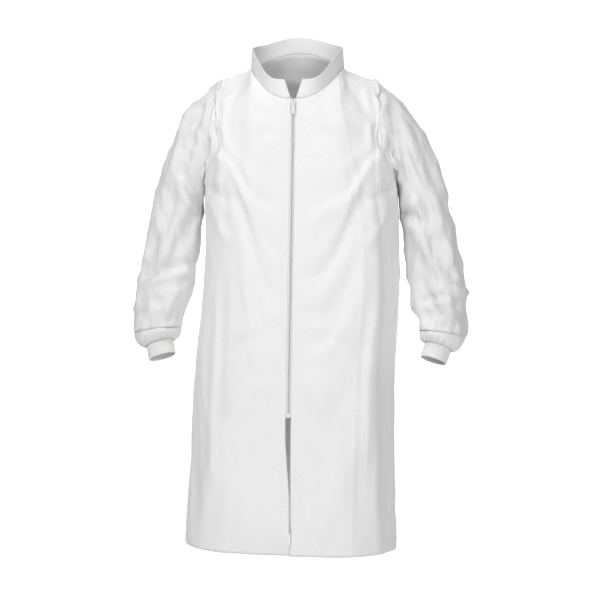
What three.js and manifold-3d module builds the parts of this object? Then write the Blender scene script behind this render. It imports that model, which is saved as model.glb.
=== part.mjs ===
// A disposable zip-front lab coat, held up as it hangs on a wearer: knee length, with a stand
// collar, set-in sleeves, knit cuffs and a coil zip that stops short of the hem.
// Millimetres. +Z is up, the front faces -Y, +X is the wearer's left. The origin is the nape,
// the middle of the neck seam from side to side and from front to back at the nape's height.
import * as THREE from "three";
import { mergeVertices } from "three/addons/utils/BufferGeometryUtils.js";
import Module from "manifold-3d";

const wasm = await Module();
wasm.setup();

// ---- Driving dimensions ----
const COAT_LENGTH = 1030; // nape to hem
const CLOTH = 1.5; // thickness of a cloth panel, padded out from the real 0.35
const SEAM_GAP = 0.4; // clearance where two sewn edges meet
const FOLD_GAP = 0.6; // clearance along the line where a front's corner folds back

const CHEST_HALF_WIDTH = 203; // at the underarm
const HEM_HALF_WIDTH = 219;
const FRONT_DEPTH_AT_NECK = 112; // centre front, forward of the origin
const FRONT_DEPTH_AT_HEM = 172;
const BACK_DEPTH_AT_NAPE = 72;
const BACK_DEPTH = 150; // from the shoulder blades down
const SQUARENESS = 2.5; // exponent of the body's cross-section, 2 is an ellipse

const NECK_HALF_WIDTH = 98;
const NECK_SIDE_DROP = 42; // below the nape, where the shoulder seam meets the neck
const NECK_FRONT_DROP = 122;
const SHOULDER_HALF_WIDTH = 158; // to the top of the armhole
const SHOULDER_DROP = 68;
const SHOULDER_SETBACK = 5; // the shoulder seam lies this far behind the origin
const ARMHOLE_DEPTH = 228;
const ARMHOLE_HALF_BREADTH = 75;

const COLLAR_HEIGHT = 38;
const COLLAR_SPREAD = 13; // how far each front corner of the collar stands off the centre line
const COLLAR_LAYER = 1.2;

const SLEEVE_DROP = 528; // armhole top to the sleeve's gathered end
const SLEEVE_STANDOFF = 7; // clearance between the upper sleeve and the body
const UPPER_SLEEVE_RADIUS = 56;
const FOREARM_RADIUS = 57;
const GATHER_RADIUS = 49; // where the sleeve is sewn to the cuff band
const BAND_HEIGHT = 27;
const KNIT_HEIGHT = 30;
const KNIT_RADIUS = 26; // inner
const KNIT_THICKNESS = 2.5;

const ZIP_LENGTH = 642; // neck seam to the foot of the retainer box
const TAPE_WIDTH = 15;
const TAPE_THICKNESS = 0.8;
const COIL_WIDTH = 2.7;
const COIL_HEIGHT = 2.4;
const COIL_SPLIT = 1.4; // between the two rows, where the slider's wedge runs
const SLIDER_LENGTH = 11;
const SLIDER_WIDTH = 9.2;
const SLIDER_PLATE = 1.2;
const ZIP_CLEARANCE = 0.3;
const COIL_PLAY = 0.4; // between the coil and the slider's rim
const TAB_LENGTH = 24;
const TAB_WIDTH = 7;
const TAB_THICKNESS = 1;
const SLIT_GAP_AT_HEM = 6; // between the two fronts

// ---- Colours and finishes ----
const finish = (color, roughness) => new THREE.MeshStandardMaterial({ color, roughness, metalness: 0 });
const CLOTH_WHITE = finish(0xf2f2f0, 0.85);
const KNIT_WHITE = finish(0xf0f0ee, 0.95);
const TAPE_WHITE = finish(0xf4f4f2, 0.8);
const NYLON_WHITE = finish(0xf7f7f5, 0.4);
const LACQUER_WHITE = finish(0xf5f5f3, 0.3);

const V = (x, y, z) => new THREE.Vector3(x, y, z);
const coat = new THREE.Group();

function addPiece(name, geometry, material, parent = coat) {
  const mesh = new THREE.Mesh(geometry, material);
  mesh.name = name;
  parent.add(mesh);
  return mesh;
}

// ---- Solids ----
function solidOf(geometry) {
  const bare = geometry.clone();
  bare.deleteAttribute("normal");
  bare.deleteAttribute("uv");
  const merged = mergeVertices(bare, 1e-4);
  const vertProperties = new Float32Array(merged.attributes.position.array);
  const triVerts = new Uint32Array(merged.index.array);
  return new wasm.Manifold(new wasm.Mesh({ numProp: 3, vertProperties, triVerts }));
}

function geometryOf(solid) {
  const mesh = solid.getMesh();
  const geometry = new THREE.BufferGeometry();
  geometry.setAttribute("position", new THREE.BufferAttribute(new Float32Array(mesh.vertProperties), 3));
  geometry.setIndex(new THREE.BufferAttribute(new Uint32Array(mesh.triVerts), 1));
  return geometry;
}

// A box from its low and high corners.
function box(x0, x1, y0, y1, z0, z1) {
  const made = new THREE.BoxGeometry(x1 - x0, y1 - y0, z1 - z0);
  return made.translate((x0 + x1) / 2, (y0 + y1) / 2, (z0 + z1) / 2);
}

function boxes(...corners) {
  const [first, ...rest] = corners.map((c) => solidOf(box(...c)));
  return rest.reduce((all, next) => all.add(next), first);
}

// A closed sheet: a grid of points on its outer face, and the same grid moved inwards.
function sheet(outer, inward, thickness, wraps = false) {
  const rows = outer.length;
  const columns = outer[0].length;
  const inner = outer.map((row) => row.map((p) => p.clone().addScaledVector(inward(p), thickness)));
  const points = [...outer.flat(), ...inner.flat()];
  const at = (layer, i, j) => (layer * rows + i) * columns + (j % columns);
  const triangles = [];
  const quad = (a, b, c, d) => triangles.push(a, b, c, a, c, d);
  const spans = wraps ? columns : columns - 1;
  for (let j = 0; j < spans; j++) {
    for (let i = 0; i < rows - 1; i++) {
      quad(at(0, i, j), at(0, i, j + 1), at(0, i + 1, j + 1), at(0, i + 1, j));
      quad(at(1, i, j), at(1, i + 1, j), at(1, i + 1, j + 1), at(1, i, j + 1));
    }
    quad(at(0, 0, j), at(1, 0, j), at(1, 0, j + 1), at(0, 0, j + 1));
    quad(at(0, rows - 1, j), at(0, rows - 1, j + 1), at(1, rows - 1, j + 1), at(1, rows - 1, j));
  }
  for (let i = 0; i < rows - 1 && !wraps; i++) {
    quad(at(0, i, 0), at(0, i + 1, 0), at(1, i + 1, 0), at(1, i, 0));
    quad(at(0, i, spans), at(1, i, spans), at(1, i + 1, spans), at(0, i + 1, spans));
  }
  return facingOut(points, triangles);
}

// Builds the geometry, and turns every face round if they point inwards.
function facingOut(points, triangles) {
  let volume = 0;
  for (let t = 0; t < triangles.length; t += 3) {
    const [a, b, c] = [0, 1, 2].map((k) => points[triangles[t + k]]);
    volume += a.dot(b.clone().cross(c));
  }
  if (volume < 0) {
    triangles.reverse();
  }
  const geometry = new THREE.BufferGeometry().setFromPoints(points);
  return geometry.setIndex(triangles);
}

// A cubic from p0 to p1 that leaves along m0 and arrives along m1.
function hermite(p0, m0, p1, m1, t) {
  const s = 1 - t;
  const point = p0.clone().multiplyScalar(s * s * (1 + 2 * t));
  point.addScaledVector(m0, s * s * t);
  point.addScaledVector(p1, t * t * (3 - 2 * t));
  return point.addScaledVector(m1, -t * t * s);
}

const steps = (from, to, count) => Array.from({ length: count + 1 }, (_, i) => from + ((to - from) * i) / count);
const smooth = (t) => t * t * (3 - 2 * t);
const mirrored = (grid, side) => grid.map((row) => row.map((p) => V(p.x * side, p.y, p.z)));

// ---- The body's shape, drawn for the wearer's left and mirrored for the right ----
const HEM_Z = -COAT_LENGTH;
const SHOULDER_Z = -SHOULDER_DROP;
const UNDERARM_Z = SHOULDER_Z - ARMHOLE_DEPTH;
const FREE_Z = UNDERARM_Z - 130; // below this the panels follow the plain cross-sections
const FRONT_EDGE = SLIDER_WIDTH / 2 + 2 * ZIP_CLEARANCE; // half the opening that shows the coil
const BAND_EDGE = COIL_SPLIT / 2 + TAPE_WIDTH + 1; // the front stays flat from its edge to here
const FRONT_SLOPE = (FRONT_DEPTH_AT_HEM - FRONT_DEPTH_AT_NECK) / (COAT_LENGTH - NECK_FRONT_DROP);
const ZIP_TILT = Math.atan(FRONT_SLOPE);
const SLIT_TOP_Z = -NECK_FRONT_DROP - ZIP_LENGTH * Math.cos(ZIP_TILT);

const centreFront = (z) => -FRONT_DEPTH_AT_NECK - FRONT_SLOPE * (-NECK_FRONT_DROP - z);

function halfWidth(z) {
  return CHEST_HALF_WIDTH + ((HEM_HALF_WIDTH - CHEST_HALF_WIDTH) * (UNDERARM_Z - z)) / (UNDERARM_Z - HEM_Z);
}

// The front's edge: straight down the zip, then drifting to the centre down the slit.
function frontEdge(z) {
  const down = THREE.MathUtils.clamp((SLIT_TOP_Z - z) / (SLIT_TOP_Z - HEM_Z), 0, 1);
  return THREE.MathUtils.lerp(FRONT_EDGE, SLIT_GAP_AT_HEM / 2, down);
}

// A point of the cross-section at height z, from the flat band or centre back (s = 0) to the
// side seam (s = 1).
function onSection(s, z, front) {
  const inset = front ? BAND_EDGE : 0;
  const reach = Math.sin((s * Math.PI) / 2) ** (2 / SQUARENESS);
  const depth = Math.cos((s * Math.PI) / 2) ** (2 / SQUARENESS);
  const middle = front ? centreFront(z) : BACK_DEPTH;
  return V(inset + (halfWidth(z) - inset) * reach, middle * depth, z);
}

// The armhole seam, from the shoulder (turn = 0) down to the underarm (turn = PI).
function onArmhole(turn, front) {
  const across = (1 - Math.cos(turn)) / 2;
  const y = (front ? -1 : 1) * ARMHOLE_HALF_BREADTH * Math.sin(turn);
  const x = THREE.MathUtils.lerp(SHOULDER_HALF_WIDTH, CHEST_HALF_WIDTH, across);
  return V(x, SHOULDER_SETBACK + y, SHOULDER_Z - ARMHOLE_DEPTH * across);
}

// The neck seam, from the flat band or nape (turn = 0) to the shoulder seam (turn = PI / 2).
function onNeck(turn, front) {
  const inset = front ? BAND_EDGE : 0;
  const middle = front ? -FRONT_DEPTH_AT_NECK : BACK_DEPTH_AT_NAPE;
  const middleZ = front ? -NECK_FRONT_DROP : 0;
  const x = inset + (NECK_HALF_WIDTH - inset) * Math.sin(turn);
  const y = THREE.MathUtils.lerp(SHOULDER_SETBACK, middle, Math.cos(turn));
  return V(x, y, THREE.MathUtils.lerp(-NECK_SIDE_DROP, middleZ, Math.cos(turn) ** 2));
}

const NECK_END = 0.28; // share of a panel's columns that start on the neck seam
const SHOULDER_END = 0.5; // and, from there, on the shoulder seam

function topEdge(s, front) {
  if (s <= NECK_END) {
    return onNeck(((s / NECK_END) * Math.PI) / 2, front);
  }
  if (s < SHOULDER_END) {
    const t = (s - NECK_END) / (SHOULDER_END - NECK_END);
    return onNeck(Math.PI / 2, front).lerp(onArmhole(0, front), t);
  }
  return onArmhole(((s - SHOULDER_END) / (1 - SHOULDER_END)) * Math.PI, front);
}

// A point of a panel: s from its middle to the side seam, t from its top edge to FREE_Z.
function onYoke(s, t, front) {
  const start = topEdge(s, front);
  const end = onSection(s, FREE_Z, front);
  const chord = end.clone().sub(start);
  const lean = smooth(Math.min(1, s / NECK_END));
  const forward = V(0, front ? -1 : 1, -0.35).normalize().multiplyScalar(chord.length());
  const upright = V(0, 0, -chord.length());
  const pastShoulder = Math.max(0, (s - SHOULDER_END) / (1 - SHOULDER_END));
  const rounding = lean * (1 - smooth(Math.min(1, 3 * pastShoulder)));
  const leave = chord.clone().lerp(forward, front ? rounding : 0.25 + 0.75 * rounding);
  const arrive = chord.clone().lerp(upright, front ? lean : 1);
  return hermite(start, leave, end, arrive, t);
}

// Straight into the cloth from its outer face, the same for both panels where they meet.
function intoBody(p) {
  const high = THREE.MathUtils.clamp((p.z - UNDERARM_Z) / (SHOULDER_Z - UNDERARM_Z), 0, 1.2);
  const across = p.x / halfWidth(UNDERARM_Z) ** 2;
  const along = p.y / (p.y < 0 ? FRONT_DEPTH_AT_HEM : BACK_DEPTH) ** 2;
  return V(-across * (1 - 0.8 * Math.min(1, high)), -along, -0.006 * high ** 3).normalize();
}

const NECK_SPANS = 4; // facets along a quarter of the neck seam
const YOKE_ROWS = 6;
const SKIRT_ROWS = 6;
const COLUMNS = [
  ...steps(0, NECK_END, NECK_SPANS),
  ...steps(NECK_END, SHOULDER_END, 3).slice(1),
  ...steps(SHOULDER_END, 1, 6).slice(1),
];

function panelGrid(front) {
  const side = front ? -1 : 1;
  const yoke = steps(0, 1, YOKE_ROWS).map((t) => COLUMNS.map((s) => onYoke(s, t, front)));
  const levels = steps(FREE_Z, HEM_Z, SKIRT_ROWS).slice(1);
  const skirt = levels.map((z) => COLUMNS.map((s) => onSection(s, z, front)));
  const grid = [...yoke, ...skirt];
  if (front) {
    grid.forEach((row) => row.unshift(V(frontEdge(row[0].z), row[0].y, row[0].z)));
  }
  // Half of the seam's clearance comes off each edge at the shoulder and the side.
  grid.forEach((row, i) => {
    row.forEach((p, j) => {
      const s = COLUMNS[j - (row.length - COLUMNS.length)];
      const onShoulder = i === 0 && s >= NECK_END && s <= SHOULDER_END;
      if (onShoulder || s === 1) {
        p.y += (side * SEAM_GAP) / 2;
      }
    });
  });
  return grid;
}

// ---- Front panels, each with the corner that folds back below the zip ----
const FOLD_REACH = 128; // from the centre line to where the fold meets the hem

// Everything under the fold line, for the wearer's left or right.
function underFold(side, margin) {
  const top = SLIT_TOP_Z - 4 + margin;
  const outline = new THREE.Shape();
  outline.moveTo(margin, top);
  outline.lineTo(FOLD_REACH + margin, HEM_Z + margin);
  outline.lineTo(FOLD_REACH + margin, HEM_Z - 20);
  outline.lineTo(-20, HEM_Z - 20);
  outline.lineTo(-20, top);
  outline.closePath();
  const depth = FRONT_DEPTH_AT_HEM;
  const prism = new THREE.ExtrudeGeometry(outline, { depth, bevelEnabled: false });
  prism.rotateX(Math.PI / 2);
  prism.translate(0, -20, 0);
  return solidOf(side < 0 ? mirrorX(prism) : prism);
}

// The mirror image of a geometry in the plane x = 0, still facing out.
function mirrorX(geometry) {
  const indexed = mergeVertices(geometry.clone().deleteAttribute("normal").deleteAttribute("uv"), 1e-4);
  indexed.scale(-1, 1, 1);
  return indexed.setIndex([...indexed.index.array].reverse());
}

const SIDES = [
  ["left", 1],
  ["right", -1],
];

for (const [name, side] of SIDES) {
  const front = solidOf(sheet(mirrored(panelGrid(true), side), intoBody, CLOTH));
  addPiece(name + "_front_panel", geometryOf(front.subtract(underFold(side, FOLD_GAP))), CLOTH_WHITE);
  addPiece(name + "_front_corner", geometryOf(front.intersect(underFold(side, 0))), CLOTH_WHITE);
}

// ---- Back panel ----
const backHalf = panelGrid(false);
const backGrid = backHalf.map((row) => [...mirrored([row.slice(1)], -1)[0].reverse(), ...row]);
addPiece("back_panel", sheet(backGrid, intoBody, CLOTH), CLOTH_WHITE);

// ---- Collar, two layers, open at the front ----
// A point of the collar's outer face: around from one front edge (-1) over the nape (0) to the
// other (1), and up from the neck seam (0) to the folded edge (1).
function onCollar(around, up) {
  const turn = Math.abs(around) * Math.PI;
  const front = turn > Math.PI / 2;
  const foot = onNeck(front ? Math.PI - turn : turn, front);
  const toFront = Math.max(0, -Math.cos(turn));
  const rise = V(COLLAR_SPREAD * toFront ** 6 - 3 * (1 - toFront), -2 * toFront, 1).setZ(COLLAR_HEIGHT);
  foot.addScaledVector(rise, up);
  foot.z += SEAM_GAP;
  return V(foot.x * Math.sign(around || 1), foot.y, foot.z);
}

// The collar's own front edge, past the end of the curved part.
const collarEdge = (p) => V(p.x - Math.sign(p.x) * (BAND_EDGE - FRONT_EDGE), p.y, p.z);

const intoNeck = (p) => V(-p.x / NECK_HALF_WIDTH, -(p.y + 15) / NECK_HALF_WIDTH, 0).normalize();

function collarLayer(inset, height) {
  const around = steps(-1, 1, 4 * NECK_SPANS);
  const curved = steps(0, height, 3).map((up) => around.map((a) => onCollar(a, up)));
  const grid = curved.map((row) => [collarEdge(row[0]), ...row, collarEdge(row.at(-1))]);
  const moved = grid.map((row) => row.map((p) => p.addScaledVector(intoNeck(p), inset)));
  return sheet(moved, intoNeck, COLLAR_LAYER);
}

addPiece("collar_outer", collarLayer(0, 1), CLOTH_WHITE);
addPiece("collar_inner", collarLayer(COLLAR_LAYER + SEAM_GAP, 0.98), CLOTH_WHITE);

// ---- Sleeves ----
// Each station of the sleeve's centre line: share of the sleeve's drop, radius across, radius
// front to back, forward shift, and how far its inner side stands off the body.
const STATIONS = [
  [0.42, UPPER_SLEEVE_RADIUS - 4, UPPER_SLEEVE_RADIUS + 8, 4, SLEEVE_STANDOFF],
  [0.62, UPPER_SLEEVE_RADIUS, UPPER_SLEEVE_RADIUS + 6, 2, SLEEVE_STANDOFF + 7],
  [0.76, FOREARM_RADIUS, FOREARM_RADIUS + 4, -2, SLEEVE_STANDOFF + 15],
  [0.87, FOREARM_RADIUS, FOREARM_RADIUS, -10, SLEEVE_STANDOFF + 18],
  [0.95, FOREARM_RADIUS - 6, FOREARM_RADIUS - 6, -17, SLEEVE_STANDOFF + 27],
  [1, GATHER_RADIUS, GATHER_RADIUS, -20, SLEEVE_STANDOFF + 25],
].map(([share, across, deep, shift, standoff]) => {
  const z = SHOULDER_Z - share * SLEEVE_DROP;
  return { centre: V(halfWidth(z) + standoff + across, shift, z), across, deep };
});
const ARM_AXIS = STATIONS[5].centre.clone().sub(STATIONS[4].centre).normalize();
const CUFF_AXIS = V(-0.3, -0.22, -0.93).normalize(); // the cuff turns in and forward with the wrist

// A ring of the sleeve about a centre, square to an axis. turn 0 is the outer side and PI the inner.
function onRing(centre, axis, across, deep, turn) {
  const outward = V(0, 1, 0).cross(axis).normalize().multiplyScalar(-1);
  const backward = axis.clone().cross(outward).normalize().multiplyScalar(-1);
  const point = centre.clone().addScaledVector(outward, across * Math.cos(turn));
  return point.addScaledVector(backward, -deep * Math.sin(turn));
}

function stationAxis(i) {
  const before = STATIONS[Math.max(0, i - 1)].centre;
  const after = STATIONS[Math.min(STATIONS.length - 1, i + 1)].centre;
  return after.clone().sub(before).normalize();
}

const stationPoint = (i, turn) => onRing(STATIONS[i].centre, stationAxis(i), STATIONS[i].across, STATIONS[i].deep, turn);

// The sleeve's edge at the armhole: the same seam as the body's, moved out by the seam's gap.
function sleeveHead(turn) {
  const around = turn <= Math.PI ? turn : 2 * Math.PI - turn;
  const seam = onArmhole(around, turn <= Math.PI);
  return seam.add(V(SEAM_GAP, 0, -SEAM_GAP * (1 - Math.cos(around)) / 2));
}

function onSleeveCap(turn, t) {
  const start = sleeveHead(turn);
  const end = stationPoint(0, turn);
  const length = 0.65 * end.distanceTo(start);
  const down = (1 - Math.cos(turn)) / 2;
  const leave = V(1, 0, THREE.MathUtils.lerp(-0.25, -1.2, down)).normalize().multiplyScalar(length);
  return hermite(start, leave, end, stationAxis(0).multiplyScalar(length), t);
}

const SLEEVE_COLUMNS = 18;
const CAP_ROWS = 5;
const turns = steps(0, 2 * Math.PI, SLEEVE_COLUMNS).slice(0, -1);

function sleeveGrid() {
  const cap = steps(0, 1, CAP_ROWS).map((t) => turns.map((turn) => onSleeveCap(turn, t)));
  const lower = STATIONS.slice(1).map((_, i) => turns.map((turn) => stationPoint(i + 1, turn)));
  return [...cap, ...lower];
}

// Towards the sleeve's own centre line from any of its points.
function intoSleeve(p) {
  const side = Math.sign(p.x);
  const line = [onArmhole(Math.PI / 2, true).setY(SHOULDER_SETBACK), ...STATIONS.map((s) => s.centre)];
  const i = Math.max(1, line.findIndex((c) => c.z < p.z));
  const share = THREE.MathUtils.clamp((line[i - 1].z - p.z) / (line[i - 1].z - line[i].z), 0, 1);
  const near = line[i - 1].clone().lerp(line[i], share);
  return V(near.x * side, near.y, near.z).sub(p).normalize();
}

// A tube of cloth or knit about the cuff's axis, whose wall turns in towards its end if the end is
// narrower. Its top ring lies square to topAxis.
function cuffTube(start, topAxis, length, radiusTop, radiusEnd, thickness, side) {
  const rings = [0, 0.4, 0.7, 0.9, 1].map((share) => {
    const centre = start.clone().addScaledVector(CUFF_AXIS, share * length);
    const axis = topAxis.clone().lerp(CUFF_AXIS, share).normalize();
    const radius = THREE.MathUtils.lerp(radiusEnd, radiusTop, Math.sqrt(1 - share * share)) + thickness;
    return turns.map((turn) => onRing(centre, axis, radius, radius, turn));
  });
  const axis = V(CUFF_AXIS.x * side, CUFF_AXIS.y, CUFF_AXIS.z);
  const middle = V(start.x * side, start.y, start.z).addScaledVector(axis, length / 2);
  const into = (p) => {
    const offset = middle.clone().sub(p);
    return offset.addScaledVector(axis, -offset.dot(axis)).normalize();
  };
  return sheet(mirrored(rings, side), into, thickness, true);
}

const bandStart = STATIONS[5].centre.clone().addScaledVector(ARM_AXIS, 2 * SEAM_GAP);
const knitStart = bandStart.clone().addScaledVector(CUFF_AXIS, BAND_HEIGHT + SEAM_GAP);
const BAND_TOP_RADIUS = GATHER_RADIUS - CLOTH;
const BAND_LOW_RADIUS = KNIT_RADIUS + KNIT_THICKNESS / 2;

for (const [name, side] of SIDES) {
  addPiece(name + "_sleeve", sheet(mirrored(sleeveGrid(), side), intoSleeve, CLOTH, true), CLOTH_WHITE);
  const band = cuffTube(bandStart, ARM_AXIS, BAND_HEIGHT, BAND_TOP_RADIUS, BAND_LOW_RADIUS, CLOTH, side);
  const knit = cuffTube(knitStart, CUFF_AXIS, KNIT_HEIGHT, KNIT_RADIUS, KNIT_RADIUS, KNIT_THICKNESS, side);
  addPiece(name + "_cuff_band", band, CLOTH_WHITE);
  addPiece(name + "_knit_cuff", knit, KNIT_WHITE);
}

// ---- Zip, in a frame of its own: z runs up the centre front and -y is outwards ----
const zip = new THREE.Group();
zip.position.set(0, -FRONT_DEPTH_AT_NECK, -NECK_FRONT_DROP);
zip.rotation.x = -ZIP_TILT;
coat.add(zip);

const TAPE_FRONT = CLOTH + ZIP_CLEARANCE;
const TAPE_BACK = TAPE_FRONT + TAPE_THICKNESS;
const COIL_BACK = TAPE_FRONT - ZIP_CLEARANCE;
const COIL_FRONT = COIL_BACK - COIL_HEIGHT;
const COIL_INNER = COIL_SPLIT / 2;
const COIL_OUTER = COIL_INNER + COIL_WIDTH;
const STOP_HEIGHT = 3;
const TOP_MARGIN = 2; // tape above the top stops
const BOX_HEIGHT = 9;
const STOP_TOP = -TOP_MARGIN;
const COIL_TOP = STOP_TOP - STOP_HEIGHT - ZIP_CLEARANCE;
const BOX_BOTTOM = -ZIP_LENGTH;
const BOX_TOP = BOX_BOTTOM + BOX_HEIGHT;
const COIL_BOTTOM = BOX_TOP + ZIP_CLEARANCE;

for (const [name, side] of SIDES) {
  const span = (near, far) => (side > 0 ? [near, far] : [-far, -near]);
  const tape = box(...span(COIL_INNER, COIL_INNER + TAPE_WIDTH), TAPE_FRONT, TAPE_BACK, BOX_BOTTOM, -ZIP_CLEARANCE);
  const coil = box(...span(COIL_INNER, COIL_OUTER), COIL_FRONT, COIL_BACK, COIL_BOTTOM, COIL_TOP);
  const stop = box(...span(COIL_INNER, COIL_OUTER), COIL_FRONT - 0.4, COIL_BACK, STOP_TOP - STOP_HEIGHT, STOP_TOP);
  addPiece(name + "_zip_tape", tape, TAPE_WHITE, zip);
  addPiece(name + "_zip_coil", coil, NYLON_WHITE, zip);
  addPiece(name + "_top_stop", stop, NYLON_WHITE, zip);
}

// The pin on the right tape stands in the socket of the box on the left tape.
const PIN_WIDTH = 1.6;
const BOX_HALF_WIDTH = FRONT_EDGE - ZIP_CLEARANCE;
const pinSpan = [-COIL_INNER - PIN_WIDTH, -COIL_INNER];
const pin = box(...pinSpan, COIL_FRONT + 0.5, COIL_BACK, BOX_BOTTOM + 2, BOX_TOP);
addPiece("insertion_pin", pin, NYLON_WHITE, zip);
const block = boxes([-BOX_HALF_WIDTH, BOX_HALF_WIDTH, COIL_FRONT - 0.8, COIL_BACK, BOX_BOTTOM, BOX_TOP - 0.5]);
const socket = boxes([
  pinSpan[0] - ZIP_CLEARANCE,
  pinSpan[1] + ZIP_CLEARANCE,
  COIL_FRONT + 0.5 - ZIP_CLEARANCE,
  COIL_BACK + 1,
  BOX_BOTTOM + 2 - ZIP_CLEARANCE,
  BOX_TOP + 1,
]);
addPiece("retainer_box", geometryOf(block.subtract(socket)), NYLON_WHITE, zip);

// ---- Slider and pull tab, with the slider's middle as their origin ----
const slider = new THREE.Group();
slider.position.z = COIL_TOP + ZIP_CLEARANCE - 0.6 - SLIDER_LENGTH / 2;
zip.add(slider);

const HALF = SLIDER_WIDTH / 2;
const RIM = HALF - COIL_OUTER - COIL_PLAY;
const PLATE_BACK = COIL_FRONT - ZIP_CLEARANCE; // back of the front plate
const PLATE_FRONT = PLATE_BACK - SLIDER_PLATE;
const REAR_FRONT = TAPE_BACK + ZIP_CLEARANCE; // front of the rear plate
const REAR_BACK = REAR_FRONT + SLIDER_PLATE;
const END = SLIDER_LENGTH / 2;
const WEDGE_HALF = COIL_INNER - ZIP_CLEARANCE;
const LUG_HALF_WIDTH = 0.8;
const LUG_BAR = 1.1;
const LUG_GAP = TAB_THICKNESS + 2 * ZIP_CLEARANCE;
const LUG_INNER = PLATE_FRONT - LUG_GAP;
const LUG_OUTER = LUG_INNER - LUG_BAR;
const LUG_TOP = 3.6;
const LUG_POST = 1.3;

const sliderSolid = boxes(
  [-HALF, HALF, PLATE_FRONT, PLATE_BACK, -END, END],
  [-HALF, HALF, REAR_FRONT, REAR_BACK, -END, END],
  [-WEDGE_HALF, WEDGE_HALF, PLATE_BACK - 0.1, REAR_FRONT + 0.1, END - 4, END - 0.6],
  [-HALF, -HALF + RIM, PLATE_BACK - 0.1, COIL_BACK, -END, END],
  [HALF - RIM, HALF, PLATE_BACK - 0.1, COIL_BACK, -END, END],
  [-LUG_HALF_WIDTH, LUG_HALF_WIDTH, LUG_OUTER, PLATE_FRONT + 0.1, LUG_TOP - LUG_POST, LUG_TOP],
  [-LUG_HALF_WIDTH, LUG_HALF_WIDTH, LUG_OUTER, PLATE_FRONT + 0.1, -LUG_TOP, -LUG_TOP + LUG_POST],
  [-LUG_HALF_WIDTH, LUG_HALF_WIDTH, LUG_OUTER, LUG_INNER, -LUG_TOP, LUG_TOP],
);
addPiece("zip_slider", geometryOf(sliderSolid), LACQUER_WHITE, slider);

// The tab's top bar runs under the lug, and its two legs pass beside it.
const TAB_MIDDLE = PLATE_FRONT - LUG_GAP / 2;
const BAR_HALF = TAB_THICKNESS / 2;
const HINGE_Z = LUG_TOP - LUG_POST - ZIP_CLEARANCE - BAR_HALF;
const HOLE_HALF_WIDTH = LUG_HALF_WIDTH + ZIP_CLEARANCE;
const HOLE_BOTTOM = -LUG_TOP - 1.2;
const TAB_HALF = TAB_WIDTH / 2;

function tabOutline() {
  const foot = HINGE_Z + BAR_HALF - TAB_LENGTH;
  const head = HINGE_Z + BAR_HALF;
  const outline = new THREE.Shape();
  outline.moveTo(-TAB_HALF + 0.8, head);
  outline.lineTo(TAB_HALF - 0.8, head);
  outline.lineTo(TAB_HALF, HOLE_BOTTOM - 1);
  outline.absarc(0, foot + TAB_HALF, TAB_HALF, 0, -Math.PI, true);
  outline.lineTo(-TAB_HALF, HOLE_BOTTOM - 1);
  outline.closePath();
  const hole = new THREE.Path();
  hole.moveTo(-HOLE_HALF_WIDTH, head - TAB_THICKNESS);
  hole.lineTo(-HOLE_HALF_WIDTH, HOLE_BOTTOM);
  hole.lineTo(HOLE_HALF_WIDTH, HOLE_BOTTOM);
  hole.lineTo(HOLE_HALF_WIDTH, head - TAB_THICKNESS);
  hole.closePath();
  outline.holes.push(hole);
  return outline;
}

const tab = new THREE.ExtrudeGeometry(tabOutline(), { depth: TAB_THICKNESS, bevelEnabled: false, curveSegments: 8 });
tab.rotateX(Math.PI / 2);
tab.translate(0, TAB_MIDDLE + BAR_HALF, 0);
addPiece("pull_tab", tab, LACQUER_WHITE, slider);

export default coat;
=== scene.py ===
"""A disposable zip-front lab coat: its cloth, collar, cuffs and zip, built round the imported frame.
Metres. +Z is up, the front faces -Y and +X is the wearer's left. The origin is the nape.
"""

import math

import bmesh
import bpy
import numpy as np
from mathutils import Matrix, Vector, noise
from mathutils.bvhtree import BVHTree
from mathutils.kdtree import KDTree


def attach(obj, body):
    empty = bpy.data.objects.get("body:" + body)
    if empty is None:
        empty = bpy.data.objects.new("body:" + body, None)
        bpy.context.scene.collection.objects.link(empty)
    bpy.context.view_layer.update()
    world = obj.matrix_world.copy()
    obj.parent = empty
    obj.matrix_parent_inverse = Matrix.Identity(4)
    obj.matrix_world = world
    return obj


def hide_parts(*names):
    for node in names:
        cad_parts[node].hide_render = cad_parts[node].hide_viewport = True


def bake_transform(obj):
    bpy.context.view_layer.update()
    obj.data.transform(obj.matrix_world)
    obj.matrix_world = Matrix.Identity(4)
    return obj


def linked(name, data):
    """A new object in the scene."""
    made = bpy.data.objects.new(name, data)
    bpy.context.scene.collection.objects.link(made)
    return made


def add_camera(aim, distance, swing, roll, lens):
    """A camera at that distance from its aim, swung round to the right and rolled."""
    camera = linked("camera", bpy.data.cameras.new("camera"))
    camera.location = Vector(aim) + Vector((math.sin(swing), -math.cos(swing), 0)) * distance
    camera.rotation_euler = (math.pi / 2, roll, swing)
    camera.data.sensor_width, camera.data.lens = 36, lens
    bpy.context.scene.camera = camera


add_camera((0.0101, 0, -0.5285), 2.75, math.radians(4), math.radians(-0.62), 78.6)
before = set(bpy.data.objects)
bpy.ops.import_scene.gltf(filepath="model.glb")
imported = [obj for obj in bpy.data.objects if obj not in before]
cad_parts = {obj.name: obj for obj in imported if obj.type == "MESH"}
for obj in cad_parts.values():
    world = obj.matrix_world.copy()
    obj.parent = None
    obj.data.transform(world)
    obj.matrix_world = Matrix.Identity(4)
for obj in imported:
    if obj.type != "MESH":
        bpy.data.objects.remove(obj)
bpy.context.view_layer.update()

# ---- Sizes, the same as the frame's ----
COAT_LENGTH = 1.030
CHEST_HALF_WIDTH, HEM_HALF_WIDTH = 0.203, 0.219
FRONT_AT_NECK, FRONT_AT_HEM = 0.112, 0.172
BACK_AT_NAPE, BACK_DEPTH = 0.072, 0.150
SQUARENESS = 2.5
NECK_HALF_WIDTH, NECK_SIDE_DROP, NECK_FRONT_DROP = 0.098, 0.042, 0.122
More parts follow.
